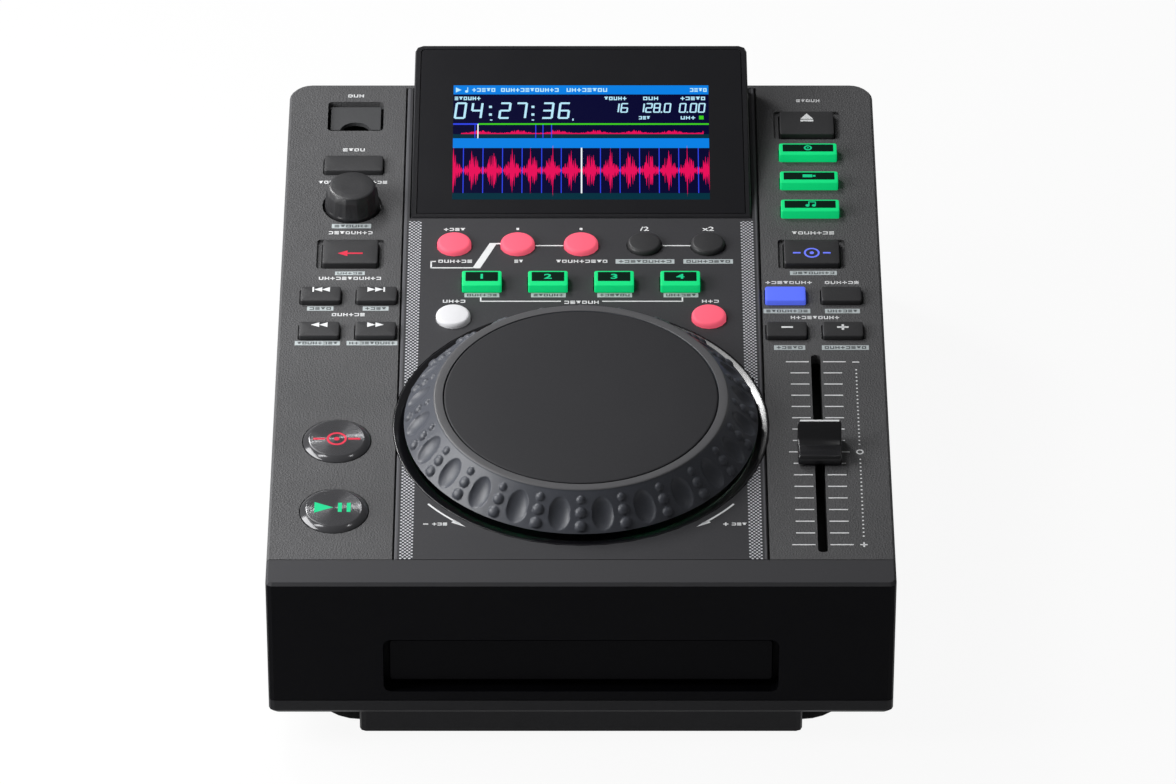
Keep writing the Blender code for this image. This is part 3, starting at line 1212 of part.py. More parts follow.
def make_jog(deck):
    """Bowl with its post, bearing, wheel and touch plate, all round one axis."""
    place = (0.0, JOG_ROW, 0.0)
    hole = BOWL_DIAMETER / 2
    lip = hole - TOUCH_GAP
    floor = BOWL_FLOOR_DIAMETER / 2
    post = JOG_POST_DIAMETER / 2
    ledge = UNDERSIDE - TOUCH_GAP
    web_top = JOG_HEIGHT - TOUCH_THICKNESS - TOUCH_GAP
    web_low = web_top - JOG_WEB
    base = [(floor, -BOWL_DEPTH - BOWL_FLOOR_THICKNESS),
            (hole + BOWL_FLANGE, ledge - BOWL_FLANGE_THICKNESS), (hole + BOWL_FLANGE, ledge),
            (lip, ledge), (lip, 0.0), (lip - BOWL_LIP, 0.0), (floor, -BOWL_DEPTH),
            (post, -BOWL_DEPTH), (post, web_low - 2 * TOUCH_GAP)]
    mesh = bmesh.new()
    add_rings(mesh, turned_rings(base, BOWL_SIDES))
    piece("jog_base", mesh, GLOSS_BLACK, deck, place)

    bearing = BEARING_DIAMETER / 2
    low = -BOWL_DEPTH + TOUCH_GAP
    ring = [(post + TOUCH_GAP, low), (bearing, low), (bearing, low + BEARING_HEIGHT),
            (post + TOUCH_GAP, low + BEARING_HEIGHT)]
    mesh = bmesh.new()
    add_rings(mesh, turned_rings(ring, BOWL_SIDES // 2), closed=True)
    piece("jog_bearing", mesh, STEEL, deck, place)

    sides = JOG_GRIPS * JOG_STEPS_PER_GRIP
    bore = bearing + TOUCH_GAP
    hub = bore + HUB_WALL
    hub_low = low + BEARING_HEIGHT / 2
    recess = TOUCH_DIAMETER / 2 + TOUCH_GROOVE
    under = [(bore, web_low), (bore, hub_low), (hub, hub_low), (hub, web_low),
             (recess - JOG_SHELL, web_low), (JOG_SKIRT_DIAMETER / 2 - JOG_SHELL, JOG_SKIRT_HEIGHT)]
    over = [(JOG_RIM_DIAMETER / 2, JOG_HEIGHT), (recess, JOG_HEIGHT), (recess, web_top)]
    mesh = bmesh.new()
    add_rings(mesh, turned_rings(under, sides) + jog_skirt_rings(sides) + turned_rings(over, sides))
    piece("jog_wheel", mesh, RUBBER_GREY, deck, place)

    touch = TOUCH_DIAMETER / 2
    plate = [(touch, web_top + TOUCH_GAP), (touch, JOG_HEIGHT - TOUCH_CHAMFER),
             (touch - TOUCH_CHAMFER, JOG_HEIGHT)]
    mesh = bmesh.new()
    add_rings(mesh, turned_rings(plate, BOWL_SIDES))
    piece("jog_touch_plate", mesh, TOUCH_GREY, deck, place)


# USB bay

def make_usb_door(deck):
    """Flap over the bay: a notched leaf on two pins at its rear edge."""
    half = DOOR_WIDTH / 2
    thick = DOOR_THICKNESS / 2
    leaf = [(-DOOR_LENGTH + thick, -thick), (0.0, -thick), (thick * math.sin(math.pi / 4),
                                                           -thick * math.cos(math.pi / 4)),
            (thick, 0.0), (thick * math.sin(math.pi / 4), thick * math.cos(math.pi / 4)),
            (0.0, thick), (-DOOR_LENGTH + thick, thick)]
    place = (-WING_LINE, DOOR_AXIS_ROW, -DOOR_AXIS_DROP)
    mesh = bmesh.new()
    add_rings(mesh, across(leaf, -half, half))
    door = piece("usb_door", mesh, FASCIA_BLACK, deck, place)

    mesh = bmesh.new()
    reach = half + PIN_REACH
    for side in (-1, 1):
        ends = sorted((side * (half - EMBED), side * reach))
        pin = circle(PIN_RADIUS - TOUCH_GAP / 2, BUTTON_SIDES // 2)
        add_rings(mesh, across(pin, *ends))
    fuse(door, guide("door_pins", mesh, deck, place))

    chord = DOOR_NOTCH_WIDTH / 2
    radius = (chord ** 2 + DOOR_NOTCH_DEPTH ** 2) / (2 * DOOR_NOTCH_DEPTH)
    mesh = bmesh.new()
    add_prism(mesh, circle(radius, CUE_SIDES), -OVERRUN, OVERRUN, 0.0,
              -DOOR_LENGTH + thick + DOOR_NOTCH_DEPTH - radius)
    cut(door, guide("door_notch", mesh, deck, place))


def make_usb_socket(deck):
    """Socket through the bay's floor, held by a collar below it."""
    place = (-WING_LINE, (BAY_FRONT + BAY_REAR) / 2, 0.0)
    top = -BAY_DEPTH + SOCKET_ABOVE_FLOOR
    low = top - SOCKET_HEIGHT
    collar_top = -BAY_DEPTH - BAY_WALL - TOUCH_GAP
    body = rectangle(SOCKET_WIDTH, SOCKET_LENGTH)
    collar = rectangle(SOCKET_WIDTH + 2 * SOCKET_COLLAR, SOCKET_LENGTH + 2 * SOCKET_COLLAR)
    mouth = rectangle(SOCKET_WIDTH - 2 * SOCKET_SHELL, SOCKET_LENGTH - 2 * SOCKET_SHELL)
    tongue = rectangle(SOCKET_TONGUE_WIDTH, SOCKET_TONGUE_THICKNESS)
    floor = low + 2 * SOCKET_SHELL
    collar_low = collar_top - SOCKET_COLLAR_THICKNESS
    mesh = bmesh.new()
    add_rings(mesh, [at_height(body, low), at_height(body, collar_low), at_height(collar, collar_low),
                     at_height(collar, collar_top), at_height(body, collar_top),
                     at_height(body, top), at_height(mouth, top), at_height(mouth, floor),
                     at_height(tongue, floor), at_height(tongue, top - 2 * SOCKET_SHELL)])
    piece("usb_a_socket", mesh, STEEL, deck, place)


# Boards

def make_control_board(deck):
    """Board under the deck with a switch below every key, the encoder's body and the fader's track."""
    wide = BOARD_HALF_WIDTH
    slim = BOARD_INNER_HALF_WIDTH
    right = [(slim, BOARD_FRONT), (wide, BOARD_FRONT), (wide, BOARD_REAR), (slim, BOARD_REAR),
             (slim, BOARD_BAR_REAR)]
    left = [(-x, y) for x, y in reversed(right)]
    outline = right + left + [(-slim, BOARD_BAR_FRONT), (slim, BOARD_BAR_FRONT)]
    mesh = bmesh.new()
    add_prism(mesh, outline, BOARD_TOP - BOARD_THICKNESS, BOARD_TOP)
    board = piece("control_board", mesh, BOARD_GREEN, deck)

    spots = [(x, row) for name, x, row, size, finish in rectangular_keys()]
    spots += [(x, row) for name, x, row, diameter, height, sides, finish in round_buttons()]
    spots = [(x, row) for x, row in spots if row < BOARD_REAR or abs(x) < slim]
    can = rectangle(SWITCH_WIDTH, SWITCH_WIDTH)
    plunger = rectangle(PLUNGER_WIDTH, PLUNGER_WIDTH)
    high = BOARD_TOP + SWITCH_HEIGHT
    mesh = bmesh.new()
    for x, row in spots:
        rings = [at_height(can, BOARD_TOP - EMBED, x, row), at_height(can, high, x, row),
                 at_height(plunger, high, x, row), at_height(plunger, high + PLUNGER_HEIGHT, x, row)]
        add_rings(mesh, rings)
    encoder = rectangle(ENCODER_WIDTH, ENCODER_WIDTH)
    add_prism(mesh, encoder, BOARD_TOP - EMBED, BOARD_TOP + ENCODER_HEIGHT, -WING_LINE, KNOB_ROW)
    track_top = UNDERSIDE - TOUCH_GAP
    length = 2 * (FADER_HALF_SLOT + FADER_TRACK_MARGIN)
    add_prism(mesh, rectangle(FADER_TRACK_WIDTH, length), BOARD_TOP - EMBED, track_top, WING_LINE,
              FADER_ROW)
    fuse(board, guide("board_parts", mesh, deck))
    mesh = bmesh.new()
    wide = FADER_STEM_WIDTH + 2 * FADER_STEM_CLEARANCE
    add_prism(mesh, rectangle(wide, 2 * FADER_HALF_SLOT), track_top - FADER_CHANNEL_DEPTH,
              track_top + OVERRUN, WING_LINE, FADER_ROW)
    cut(board, guide("fader_channel", mesh, deck))


def make_main_board(front):
    """Main board with its processor, two plugs and the jacks that pass through the rear panel."""
    low = MAIN_BOARD_HEIGHT
    high = low + BOARD_THICKNESS
    rear = MAIN_BOARD_REAR
    middle = (MAIN_BOARD_FRONT + rear) / 2
    mesh = bmesh.new()
    add_box(mesh, -MAIN_BOARD_LEFT, MAIN_BOARD_RIGHT, MAIN_BOARD_FRONT, rear, low, high)
    board = piece("main_board", mesh, BOARD_GREEN, front)
    mesh = bmesh.new()
    chip = MAIN_CHIP_WIDTH / 2
    add_box(mesh, -chip, chip, middle - chip, middle + chip, high - EMBED, high + MAIN_CHIP_HEIGHT)
    for side in (-1, 1):
        x = side * MAIN_BOARD_LEFT / 2
        half = MAIN_PLUG_LENGTH / 2
        add_box(mesh, x - half, x + half, MAIN_BOARD_FRONT + MAIN_PLUG_WIDTH,
                MAIN_BOARD_FRONT + 2 * MAIN_PLUG_WIDTH, high - EMBED, high + MAIN_PLUG_HEIGHT)
    start = rear - JACK_BODY_LENGTH
    half = JACK_BODY_WIDTH / 2
    for x in jack_spots() + [USB_B_LINE]:
        add_box(mesh, x - half, x + half, start, rear, high - EMBED, JACK_HEIGHT + half)
    fuse(board, guide("main_board_parts", mesh, front))
    fuse(board, guide("jacks", jack_barrels(rear - EMBED), front))
    mesh = bmesh.new()
    half = USB_B_WIDTH / 2 - USB_B_SHELL
    rise = USB_B_HEIGHT / 2 - USB_B_SHELL
    mouth = PANEL_FACE + USB_B_REACH
    add_box(mesh, USB_B_LINE - half, USB_B_LINE + half, mouth - USB_B_DEPTH, mouth + OVERRUN,
            JACK_HEIGHT - rise, JACK_HEIGHT + rise)
    cut(board, guide("usb_b_hollow", mesh, front))


def jack_barrels(start):
    """Round jacks with their nuts, and the USB-B socket, from inside the panel to their ends."""
    end = PANEL_FACE + JACK_REACH
    nut = PANEL_FACE + TOUCH_GAP
    profile = [(JACK_RADIUS, start), (JACK_RADIUS, nut), (JACK_NUT_RADIUS, nut),
               (JACK_NUT_RADIUS, nut + JACK_NUT_THICKNESS), (JACK_RADIUS, nut + JACK_NUT_THICKNESS),
               (JACK_RADIUS, end), (JACK_BORE_RADIUS, end), (JACK_BORE_RADIUS, end - JACK_BORE_DEPTH)]
    mesh = bmesh.new()
    for x in jack_spots():
        add_rings(mesh, [[(x + a, y, JACK_HEIGHT + b) for a, b in circle(radius, BUTTON_SIDES)]
                         for radius, y in profile])
    half = USB_B_WIDTH / 2
    rise = USB_B_HEIGHT / 2
    add_box(mesh, USB_B_LINE - half, USB_B_LINE + half, start, PANEL_FACE + USB_B_REACH,
            JACK_HEIGHT - rise, JACK_HEIGHT + rise)
    return mesh


def make_power_board(front):
    """Power board along the left side, with its transformer and two capacitors."""
    low = POWER_BOARD_HEIGHT
    high = low + BOARD_THICKNESS
    half = POWER_BOARD_WIDTH / 2
    rear = POWER_BOARD_FRONT + POWER_BOARD_LENGTH
    mesh = bmesh.new()
    add_box(mesh, -POWER_BOARD_LINE - half, -POWER_BOARD_LINE + half, POWER_BOARD_FRONT, rear, low,
            high)
    board = piece("power_board", mesh, BOARD_GREEN, front)
    mesh = bmesh.new()
    middle = (POWER_BOARD_FRONT + rear) / 2
    core = TRANSFORMER_WIDTH / 2
    add_box(mesh, -POWER_BOARD_LINE - core, -POWER_BOARD_LINE + core,
            middle - TRANSFORMER_LENGTH / 2, middle + TRANSFORMER_LENGTH / 2, high - EMBED,
            high + TRANSFORMER_HEIGHT)
    for side in (-1, 1):
        y = middle + side * (TRANSFORMER_LENGTH / 2 + CAPACITOR_GAP + CAPACITOR_RADIUS)
        add_prism(mesh, circle(CAPACITOR_RADIUS, BUTTON_SIDES), high - EMBED,
                  high + CAPACITOR_HEIGHT, -POWER_BOARD_LINE, y)
    fuse(board, guide("power_board_parts", mesh, front))


# Rear panel

def make_mains_inlet(front):
    """Inlet with its three pins and the bay of the power switch in one moulding."""
    near = PANEL_FACE - INLET_DEPTH
    face = PANEL_FACE + TOUCH_GAP + INLET_FLANGE_THICKNESS
    rim = INLET_FLANGE_RIM
    flange = rectangle(INLET_WIDTH, INLET_FLANGE_HEIGHT)
    body = rectangle(INLET_WIDTH - 2 * rim, INLET_FLANGE_HEIGHT - 2 * rim)
    steps = [(body, near), (body, PANEL_FACE + TOUCH_GAP), (flange, PANEL_FACE + TOUCH_GAP),
             (flange, face)]
    mesh = bmesh.new()
    add_rings(mesh, [[(a - INLET_LINE, y, INLET_HEIGHT + b) for a, b in outline]
                     for outline, y in steps])
    inlet = piece("mains_inlet", mesh, FASCIA_BLACK, front)

    centre = -INLET_LINE - SOCKET_CAVITY_OFFSET
    half = SOCKET_CAVITY_WIDTH / 2
    rise = SOCKET_CAVITY_HEIGHT / 2
    bottom = face - SOCKET_CAVITY_DEPTH
    rocker = -INLET_LINE + ROCKER_OFFSET
    mesh = bmesh.new()
    add_box(mesh, centre - half, centre + half, bottom, face + OVERRUN, INLET_HEIGHT - rise,
            INLET_HEIGHT + rise)
    side = ROCKER_WIDTH / 2 + TOUCH_GAP
    bay = ROCKER_HALF_LENGTH + ROCKER_BAY_GAP
    add_box(mesh, rocker - side, rocker + side, face - ROCKER_BAY_DEPTH, face + OVERRUN,
            INLET_HEIGHT - bay, INLET_HEIGHT + bay)
    cut(inlet, guide("inlet_hollows", mesh, front))

    mesh = bmesh.new()
    thick = PIN_THICKNESS / 2
    wide = PIN_WIDTH / 2
    for x, z in ((-PIN_SPREAD, -PIN_RAISE), (PIN_SPREAD, -PIN_RAISE), (0.0, PIN_RAISE)):
        add_box(mesh, centre + x - thick, centre + x + thick, bottom - EMBED, bottom + PIN_LENGTH,
                INLET_HEIGHT + z - wide, INLET_HEIGHT + z + wide)
    fuse(inlet, guide("inlet_pins", mesh, front))


def make_power_switch(front):
    """Rocker in its bay, tipped to the off side."""
    half = ROCKER_HALF_LENGTH
    outline = [(-ROCKER_KEEL, -half), (0.0, -half), (ROCKER_CROWN, -half), (ROCKER_VALLEY, 0.0),
               (ROCKER_CROWN, half), (0.0, half), (-ROCKER_KEEL, half)]
    turn_cos = math.cos(-ROCKER_ANGLE)
    turn_sin = math.sin(-ROCKER_ANGLE)
    tipped = [(y * turn_cos - z * turn_sin, y * turn_sin + z * turn_cos) for y, z in outline]
    face = PANEL_FACE + TOUCH_GAP + INLET_FLANGE_THICKNESS
    mesh = bmesh.new()
    add_rings(mesh, across(tipped, -ROCKER_WIDTH / 2, ROCKER_WIDTH / 2))
    place = (-INLET_LINE + ROCKER_OFFSET, face - ROCKER_VALLEY, INLET_HEIGHT)
    piece("power_switch", mesh, KEY_BLACK, front, place)


# Disc drive

def make_drive(front):
    """Drive chassis, tray with its fascia, turntable and laser sled."""
    sheet = DRIVE_SHEET
    rear = DRIVE_REAR
    mesh = bmesh.new()
    add_box(mesh, -DRIVE_HALF_WIDTH, DRIVE_HALF_WIDTH, DRIVE_FRONT, rear, DRIVE_LOW, DRIVE_HIGH)
    chassis = piece("drive_chassis", mesh, STEEL, front)
    inside = DRIVE_HALF_WIDTH - sheet
    runner_top = TRAY_LOW - TOUCH_GAP
    runner = inside - RUNNER_WIDTH
    mouth = [(-inside, DRIVE_HIGH - sheet), (-inside, runner_top), (-runner, runner_top),
             (-runner, runner_top - RUNNER_HEIGHT), (-inside, runner_top - RUNNER_HEIGHT),
             (-inside, DRIVE_LOW + sheet)]
    outline = mouth + [(-x, z) for x, z in reversed(mouth)]
    mesh = bmesh.new()
    add_rings(mesh, facing(outline, DRIVE_FRONT - OVERRUN, rear - sheet))
    cut(chassis, guide("drive_space", mesh, front))

    make_disc_tray(front)
    make_tray_fascia(front)
    make_turntable(front)
    make_laser_sled(front)


def make_disc_tray(front):
    """Tray with the disc's place, the motor's well and the sled's slot."""
    start = RECESS_DEPTH
    mesh = bmesh.new()
    add_box(mesh, -TRAY_HALF_WIDTH, TRAY_HALF_WIDTH, start, start + TRAY_LENGTH, TRAY_LOW, TRAY_HIGH)
    tray = piece("disc_tray", mesh, TRAY_GREY, front)
    mesh = bmesh.new()
    add_prism(mesh, circle(DISC_PLACE_RADIUS, BOWL_SIDES), TRAY_HIGH - DISC_PLACE_DEPTH,
              TRAY_HIGH + OVERRUN, 0.0, DISC_CENTRE)
    cut(tray, guide("disc_place", mesh, front))
    mesh = bmesh.new()
    add_prism(mesh, circle(MOTOR_WELL_RADIUS, CUE_SIDES), TRAY_LOW + MOTOR_FLOOR,
              TRAY_HIGH + OVERRUN, 0.0, DISC_CENTRE)
    side = SLED_HALF_WIDTH + SIDE_GAP
    slot_front = DISC_CENTRE + SLED_START
    slot_rear = slot_front + SLED_LENGTH + SLED_TRAVEL + 2 * SIDE_GAP
    ledge = SLED_LEDGE
    keel = SLED_KEEL_HALF_WIDTH + SIDE_GAP
    wide = plan(-side, side, slot_front, slot_rear)
    slim = plan(-keel, keel, slot_front + SLED_KEEL_INSET, slot_rear - SLED_KEEL_INSET)
    add_rings(mesh, [at_height(slim, TRAY_LOW - OVERRUN), at_height(slim, ledge),
                     at_height(wide, ledge), at_height(wide, TRAY_HIGH + OVERRUN)])
    cut(tray, guide("motor_and_sled_room", mesh, front))


def make_tray_fascia(front):
    """Cover on the tray's front end, standing in the fascia's recess."""
    half = TRAY_FASCIA_HALF_WIDTH
    edge = TRAY_FASCIA_EDGE
    wide = plan(-half, half, TRAY_FASCIA_LOW, TRAY_FASCIA_HIGH, TRAY_FASCIA_CORNER,
                TRAY_FASCIA_CORNER)
    tight = plan(-half + edge, half - edge, TRAY_FASCIA_LOW + edge, TRAY_FASCIA_HIGH - edge,
                 TRAY_FASCIA_CORNER - edge / 2, TRAY_FASCIA_CORNER - edge / 2)
    face = TRAY_FASCIA_SETBACK
    steps = [(tight, face), (wide, face + edge), (wide, RECESS_DEPTH - TOUCH_GAP)]
    mesh = bmesh.new()
    add_rings(mesh, [[(x, y, z) for x, z in outline] for outline, y in steps])
    piece("tray_fascia", mesh, FASCIA_BLACK, front)


def make_turntable(front):
    """Motor rotor, spindle, disc rest and clamping hub in one turned piece."""
    low = TRAY_LOW + MOTOR_FLOOR + TOUCH_GAP
    rest = TRAY_HIGH - DISC_PLACE_DEPTH + HUB_REST_THICKNESS / 2
    top = rest + HUB_PROUD
    profile = [(MOTOR_RADIUS, low), (MOTOR_RADIUS, low + MOTOR_HEIGHT),
               (SPINDLE_RADIUS, low + MOTOR_HEIGHT), (SPINDLE_RADIUS, rest - HUB_REST_THICKNESS),
               (HUB_REST_RADIUS, rest - HUB_REST_THICKNESS), (HUB_REST_RADIUS, rest),
               (HUB_RADIUS, rest), (HUB_RADIUS, top - HUB_CHAMFER), (HUB_RADIUS - HUB_CHAMFER, top)]
    mesh = bmesh.new()
    add_rings(mesh, turned_rings(profile, CUE_SIDES))
    piece("turntable", mesh, TRAY_GREY, front, (0.0, DISC_CENTRE, 0.0))


def make_laser_sled(front):
    """Sled on the slot's ledges, its lens looking up at the disc."""
    middle = DISC_CENTRE + SLED_START + SIDE_GAP + SLED_LENGTH / 2
    keel = rectangle(2 * SLED_KEEL_HALF_WIDTH, SLED_LENGTH - 2 * SLED_KEEL_INSET)
    deck = rectangle(2 * SLED_HALF_WIDTH, SLED_LENGTH)
    ledge = SLED_LEDGE + TOUCH_GAP
    mesh = bmesh.new()
    add_rings(mesh, [at_height(keel, TRAY_LOW + TOUCH_GAP), at_height(keel, ledge),
                     at_height(deck, ledge), at_height(deck, SLED_HIGH)])
    sled = piece("laser_sled", mesh, STEEL, front, (0.0, middle, 0.0))
    mesh = bmesh.new()
    add_prism(mesh, circle(LENS_RADIUS, BUTTON_SIDES), SLED_HIGH - EMBED, SLED_HIGH + LENS_HEIGHT)
    fuse(sled, guide("lens", mesh, front, (0.0, middle, 0.0)))


def main():
    """Clear the scene and build the player."""
    for old in list(bpy.data.objects):
        bpy.data.objects.remove(old, do_unlink=True)
    front = make_frame("front_frame", (0.0, FRONT_Y, 0.0))
    deck = make_frame("deck_frame", (0.0, 0.0, FRONT_HEIGHT), DECK_SLOPE, front)
    screen = make_frame("screen_frame", (0.0, POD_FRONT, 0.0), POD_FACE_TILT, deck)

    holes = deck_holes(deck)
    make_top_case(front, deck, holes)
    make_deck_plates(deck, holes)
    make_front_fascia(front, deck)
    make_bottom_chassis(front)
    make_rear_panel(front)
    make_feet(front)
    make_screen_housing(deck, screen)
    make_screen(screen)
    for key in rectangular_keys():
        make_key(*key, deck)
    for button in round_buttons():
        make_round_button(*button, deck)
    make_browse_knob(deck)
    make_pitch_fader(deck)
    make_jog(deck)
    make_usb_door(deck)
    make_usb_socket(deck)
    make_control_board(deck)
    make_main_board(front)
    make_power_board(front)
    make_mains_inlet(front)
    make_power_switch(front)
    make_drive(front)


main()
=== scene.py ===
# %% [markdown]
# # A tabletop disc player, dressed in Blender
#
# The solid model of the player arrives as a fixed frame: sixty rigid pieces, each where it really is.
# This lesson leaves every one of them in its place and gives them their looks. A piece whose shape is
# already right only gets a finish. A piece that needs finer curves, such as the wheel, is worked out
# as a surface with numpy and then stands for the plain one.

# %% Start
import math

import bmesh
import bpy
import numpy as np
from mathutils import Matrix, Vector


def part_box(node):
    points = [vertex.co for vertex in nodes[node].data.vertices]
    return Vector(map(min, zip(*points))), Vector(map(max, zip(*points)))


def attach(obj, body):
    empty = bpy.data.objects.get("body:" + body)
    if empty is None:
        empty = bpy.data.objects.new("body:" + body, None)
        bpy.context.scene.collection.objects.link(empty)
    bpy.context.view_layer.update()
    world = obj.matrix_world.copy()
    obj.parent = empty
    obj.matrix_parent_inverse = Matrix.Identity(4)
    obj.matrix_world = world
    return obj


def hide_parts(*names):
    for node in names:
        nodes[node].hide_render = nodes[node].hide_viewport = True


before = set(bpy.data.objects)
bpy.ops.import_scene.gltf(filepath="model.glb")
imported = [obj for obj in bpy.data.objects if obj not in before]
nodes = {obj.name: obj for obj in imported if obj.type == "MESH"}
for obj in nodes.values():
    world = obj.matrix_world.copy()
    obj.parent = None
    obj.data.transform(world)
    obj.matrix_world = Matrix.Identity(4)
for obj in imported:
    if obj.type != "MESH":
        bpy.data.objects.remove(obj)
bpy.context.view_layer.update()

# %% [markdown]
# ## Two places to draw in
#
# The deck slopes up to the back and the screen's pod is steeper still. Working out each point in the
# room would be slow and easy to get wrong. So a point is given where a maker would measure it, such as
# 85 mm to the right and 40 mm up the deck, and one function for each surface turns that into the
# room's x, y and z.

# %% Deck and screen frames
MM = 0.001
SLOPE = math.radians(4.1)
TILT = math.radians(12.4)
FRONT_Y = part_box("front_fascia")[0].y
FRONT_HEIGHT = 69 * MM
POD_FRONT = 209.6 * MM


def on_deck(x, v, w):
    """Room points of deck points: y is v times cos of the slope less w times its sin, z the reverse."""
    x, v, w = np.broadcast_arrays(np.asarray(x, float), np.asarray(v, float), np.asarray(w, float))
    y = FRONT_Y + v * math.cos(SLOPE) - w * math.sin(SLOPE)
    z = FRONT_HEIGHT + v * math.sin(SLOPE) + w * math.cos(SLOPE)
    return np.stack([x, y, z], axis=-1)


def on_screen(x, s, h):
    """Room points of points on the pod's face: s up the face and h off it, turned into deck points."""
    s, h = np.asarray(s, float), np.asarray(h, float)
    v = POD_FRONT + s * math.cos(TILT) - h * math.sin(TILT)
    return on_deck(x, v, s * math.sin(TILT) + h * math.cos(TILT))


print("front edge of the deck at", on_deck(0, 0, 0).round(4))

# %% [markdown]
# ## The camera first
#
# The picture was taken with a long lens from in front and above, so the player barely tapers. Matching
# the camera before anything else means that every later picture can be laid beside the photograph.
# The lens, the distance and the tilt come from the outline of the case alone.

# %% Camera
PICTURE_WIDTH = 1176
LENS_PIXELS = 7479
CAMERA_PITCH = math.radians(38.76)
AXIS_PIXEL = 581
DEPTH_TO_EDGE = 2603.45 * MM
EDGE_ABOVE_AXIS = -66.835 * MM


def aim_camera():
    """Camera whose forward line makes the pitch with the deck: forward is cos along v less sin along w."""
    along = Vector((0.0, math.cos(SLOPE), math.sin(SLOPE)))
    off = Vector((0.0, -math.sin(SLOPE), math.cos(SLOPE)))
    forward = math.cos(CAMERA_PITCH) * along - math.sin(CAMERA_PITCH) * off
    upward = math.sin(CAMERA_PITCH) * along + math.cos(CAMERA_PITCH) * off
    edge = Vector((0.0, FRONT_Y, FRONT_HEIGHT))
    lens = bpy.data.cameras.new("portrait_camera")
    lens.sensor_width = 36.0
    lens.lens = 36.0 * LENS_PIXELS / PICTURE_WIDTH
    lens.shift_x = (PICTURE_WIDTH / 2 - AXIS_PIXEL) / PICTURE_WIDTH
    made = bpy.data.objects.new("portrait_camera", lens)
    bpy.context.scene.collection.objects.link(made)
    turn = Matrix((Vector((1.0, 0.0, 0.0)), upward, -forward)).transposed()
    place = edge - EDGE_ABOVE_AXIS * upward - DEPTH_TO_EDGE * forward
    made.matrix_world = Matrix.Translation(place) @ turn.to_4x4()
    bpy.context.scene.camera = made
    return made


camera = aim_camera()
print("camera stands at", [round(c, 3) for c in camera.location], "lens", round(camera.data.lens, 1))

# %% [markdown]
# ## Shader groups that many finishes share
#
# Real plastic is never one flat colour: its tone wanders a little, its moulded grain catches the light
# and dust settles on what faces up. Each of these is built once as a node group with named inputs.
# A group only puts out colours, masks and heights, and each material keeps its own shader.

# %% Node helpers


def wire(tree, kind, inputs=None, **settings):
    """Add a node, set its fields and give each named input a value or a link."""
    made = tree.nodes.new(kind)
    for field, value in settings.items():
        setattr(made, field, value)
    for key, value in (inputs or {}).items():
        if isinstance(value, bpy.types.NodeSocket):
            tree.links.new(value, made.inputs[key])
        else:
            made.inputs[key].default_value = value
    return made


def reckon(tree, operation, first, second=0.0, third=0.0):
    """Output of one Math node: the operation on two or three numbers."""
    made = wire(tree, "ShaderNodeMath", operation=operation)
    for i, value in enumerate((first, second, third)):
        if isinstance(value, bpy.types.NodeSocket):
            tree.links.new(value, made.inputs[i])
        else:
            made.inputs[i].default_value = value
    return made.outputs[0]


def start_group(name, inputs, outputs):
    """Empty shader group with its named sockets; returns it with its input and output nodes."""
    tree = bpy.data.node_groups.new(name, "ShaderNodeTree")
    for label, kind, value in inputs:
        socket = tree.interface.new_socket(name=label, in_out="INPUT", socket_type=kind)
        if value is not None:
            socket.default_value = value
    for label, kind in outputs:
        tree.interface.new_socket(name=label, in_out="OUTPUT", socket_type=kind)
    return tree, tree.nodes.new("NodeGroupInput"), tree.nodes.new("NodeGroupOutput")


def blend_colours(tree, share, first, second):
    """Colour between two colours at a share."""
    made = wire(tree, "ShaderNodeMix", data_type="RGBA")
    for key, value in ((0, share), (6, first), (7, second)):
        if isinstance(value, bpy.types.NodeSocket):
            tree.links.new(value, made.inputs[key])
        else:
            made.inputs[key].default_value = value
    return made.outputs[2]


# %% Tone, grain, dust and dot groups
NUMBER, PLACE, COLOUR = "NodeSocketFloat", "NodeSocketVector", "NodeSocketColor"


def build_tone_group():
    """Colour that wanders: two noises, one broad and one fine, brighten and darken a base colour."""
    tree, given, out = start_group("wandering_tone", [
        ("Place", PLACE, None), ("Colour", COLOUR, (0.1, 0.1, 0.1, 1.0)), ("Spread", NUMBER, 0.1),
        ("Broad Scale", NUMBER, 25.0), ("Fine Scale", NUMBER, 900.0)],
        [("Colour", COLOUR)])
    broad = wire(tree, "ShaderNodeTexNoise", {"Vector": given.outputs["Place"],
                                              "Scale": given.outputs["Broad Scale"], "Detail": 2.0})
    fine = wire(tree, "ShaderNodeTexNoise", {"Vector": given.outputs["Place"],
                                             "Scale": given.outputs["Fine Scale"], "Detail": 1.0})
    both = reckon(tree, "ADD", broad.outputs["Fac"], fine.outputs["Fac"])
    swing = reckon(tree, "SUBTRACT", both, 1.0)
    factor = reckon(tree, "MULTIPLY_ADD", swing, given.outputs["Spread"], 1.0)
    scaled = wire(tree, "ShaderNodeVectorMath", {0: given.outputs["Colour"]}, operation="SCALE")
    tree.links.new(factor, scaled.inputs["Scale"])
    tree.links.new(scaled.outputs[0], out.inputs["Colour"])
    return tree


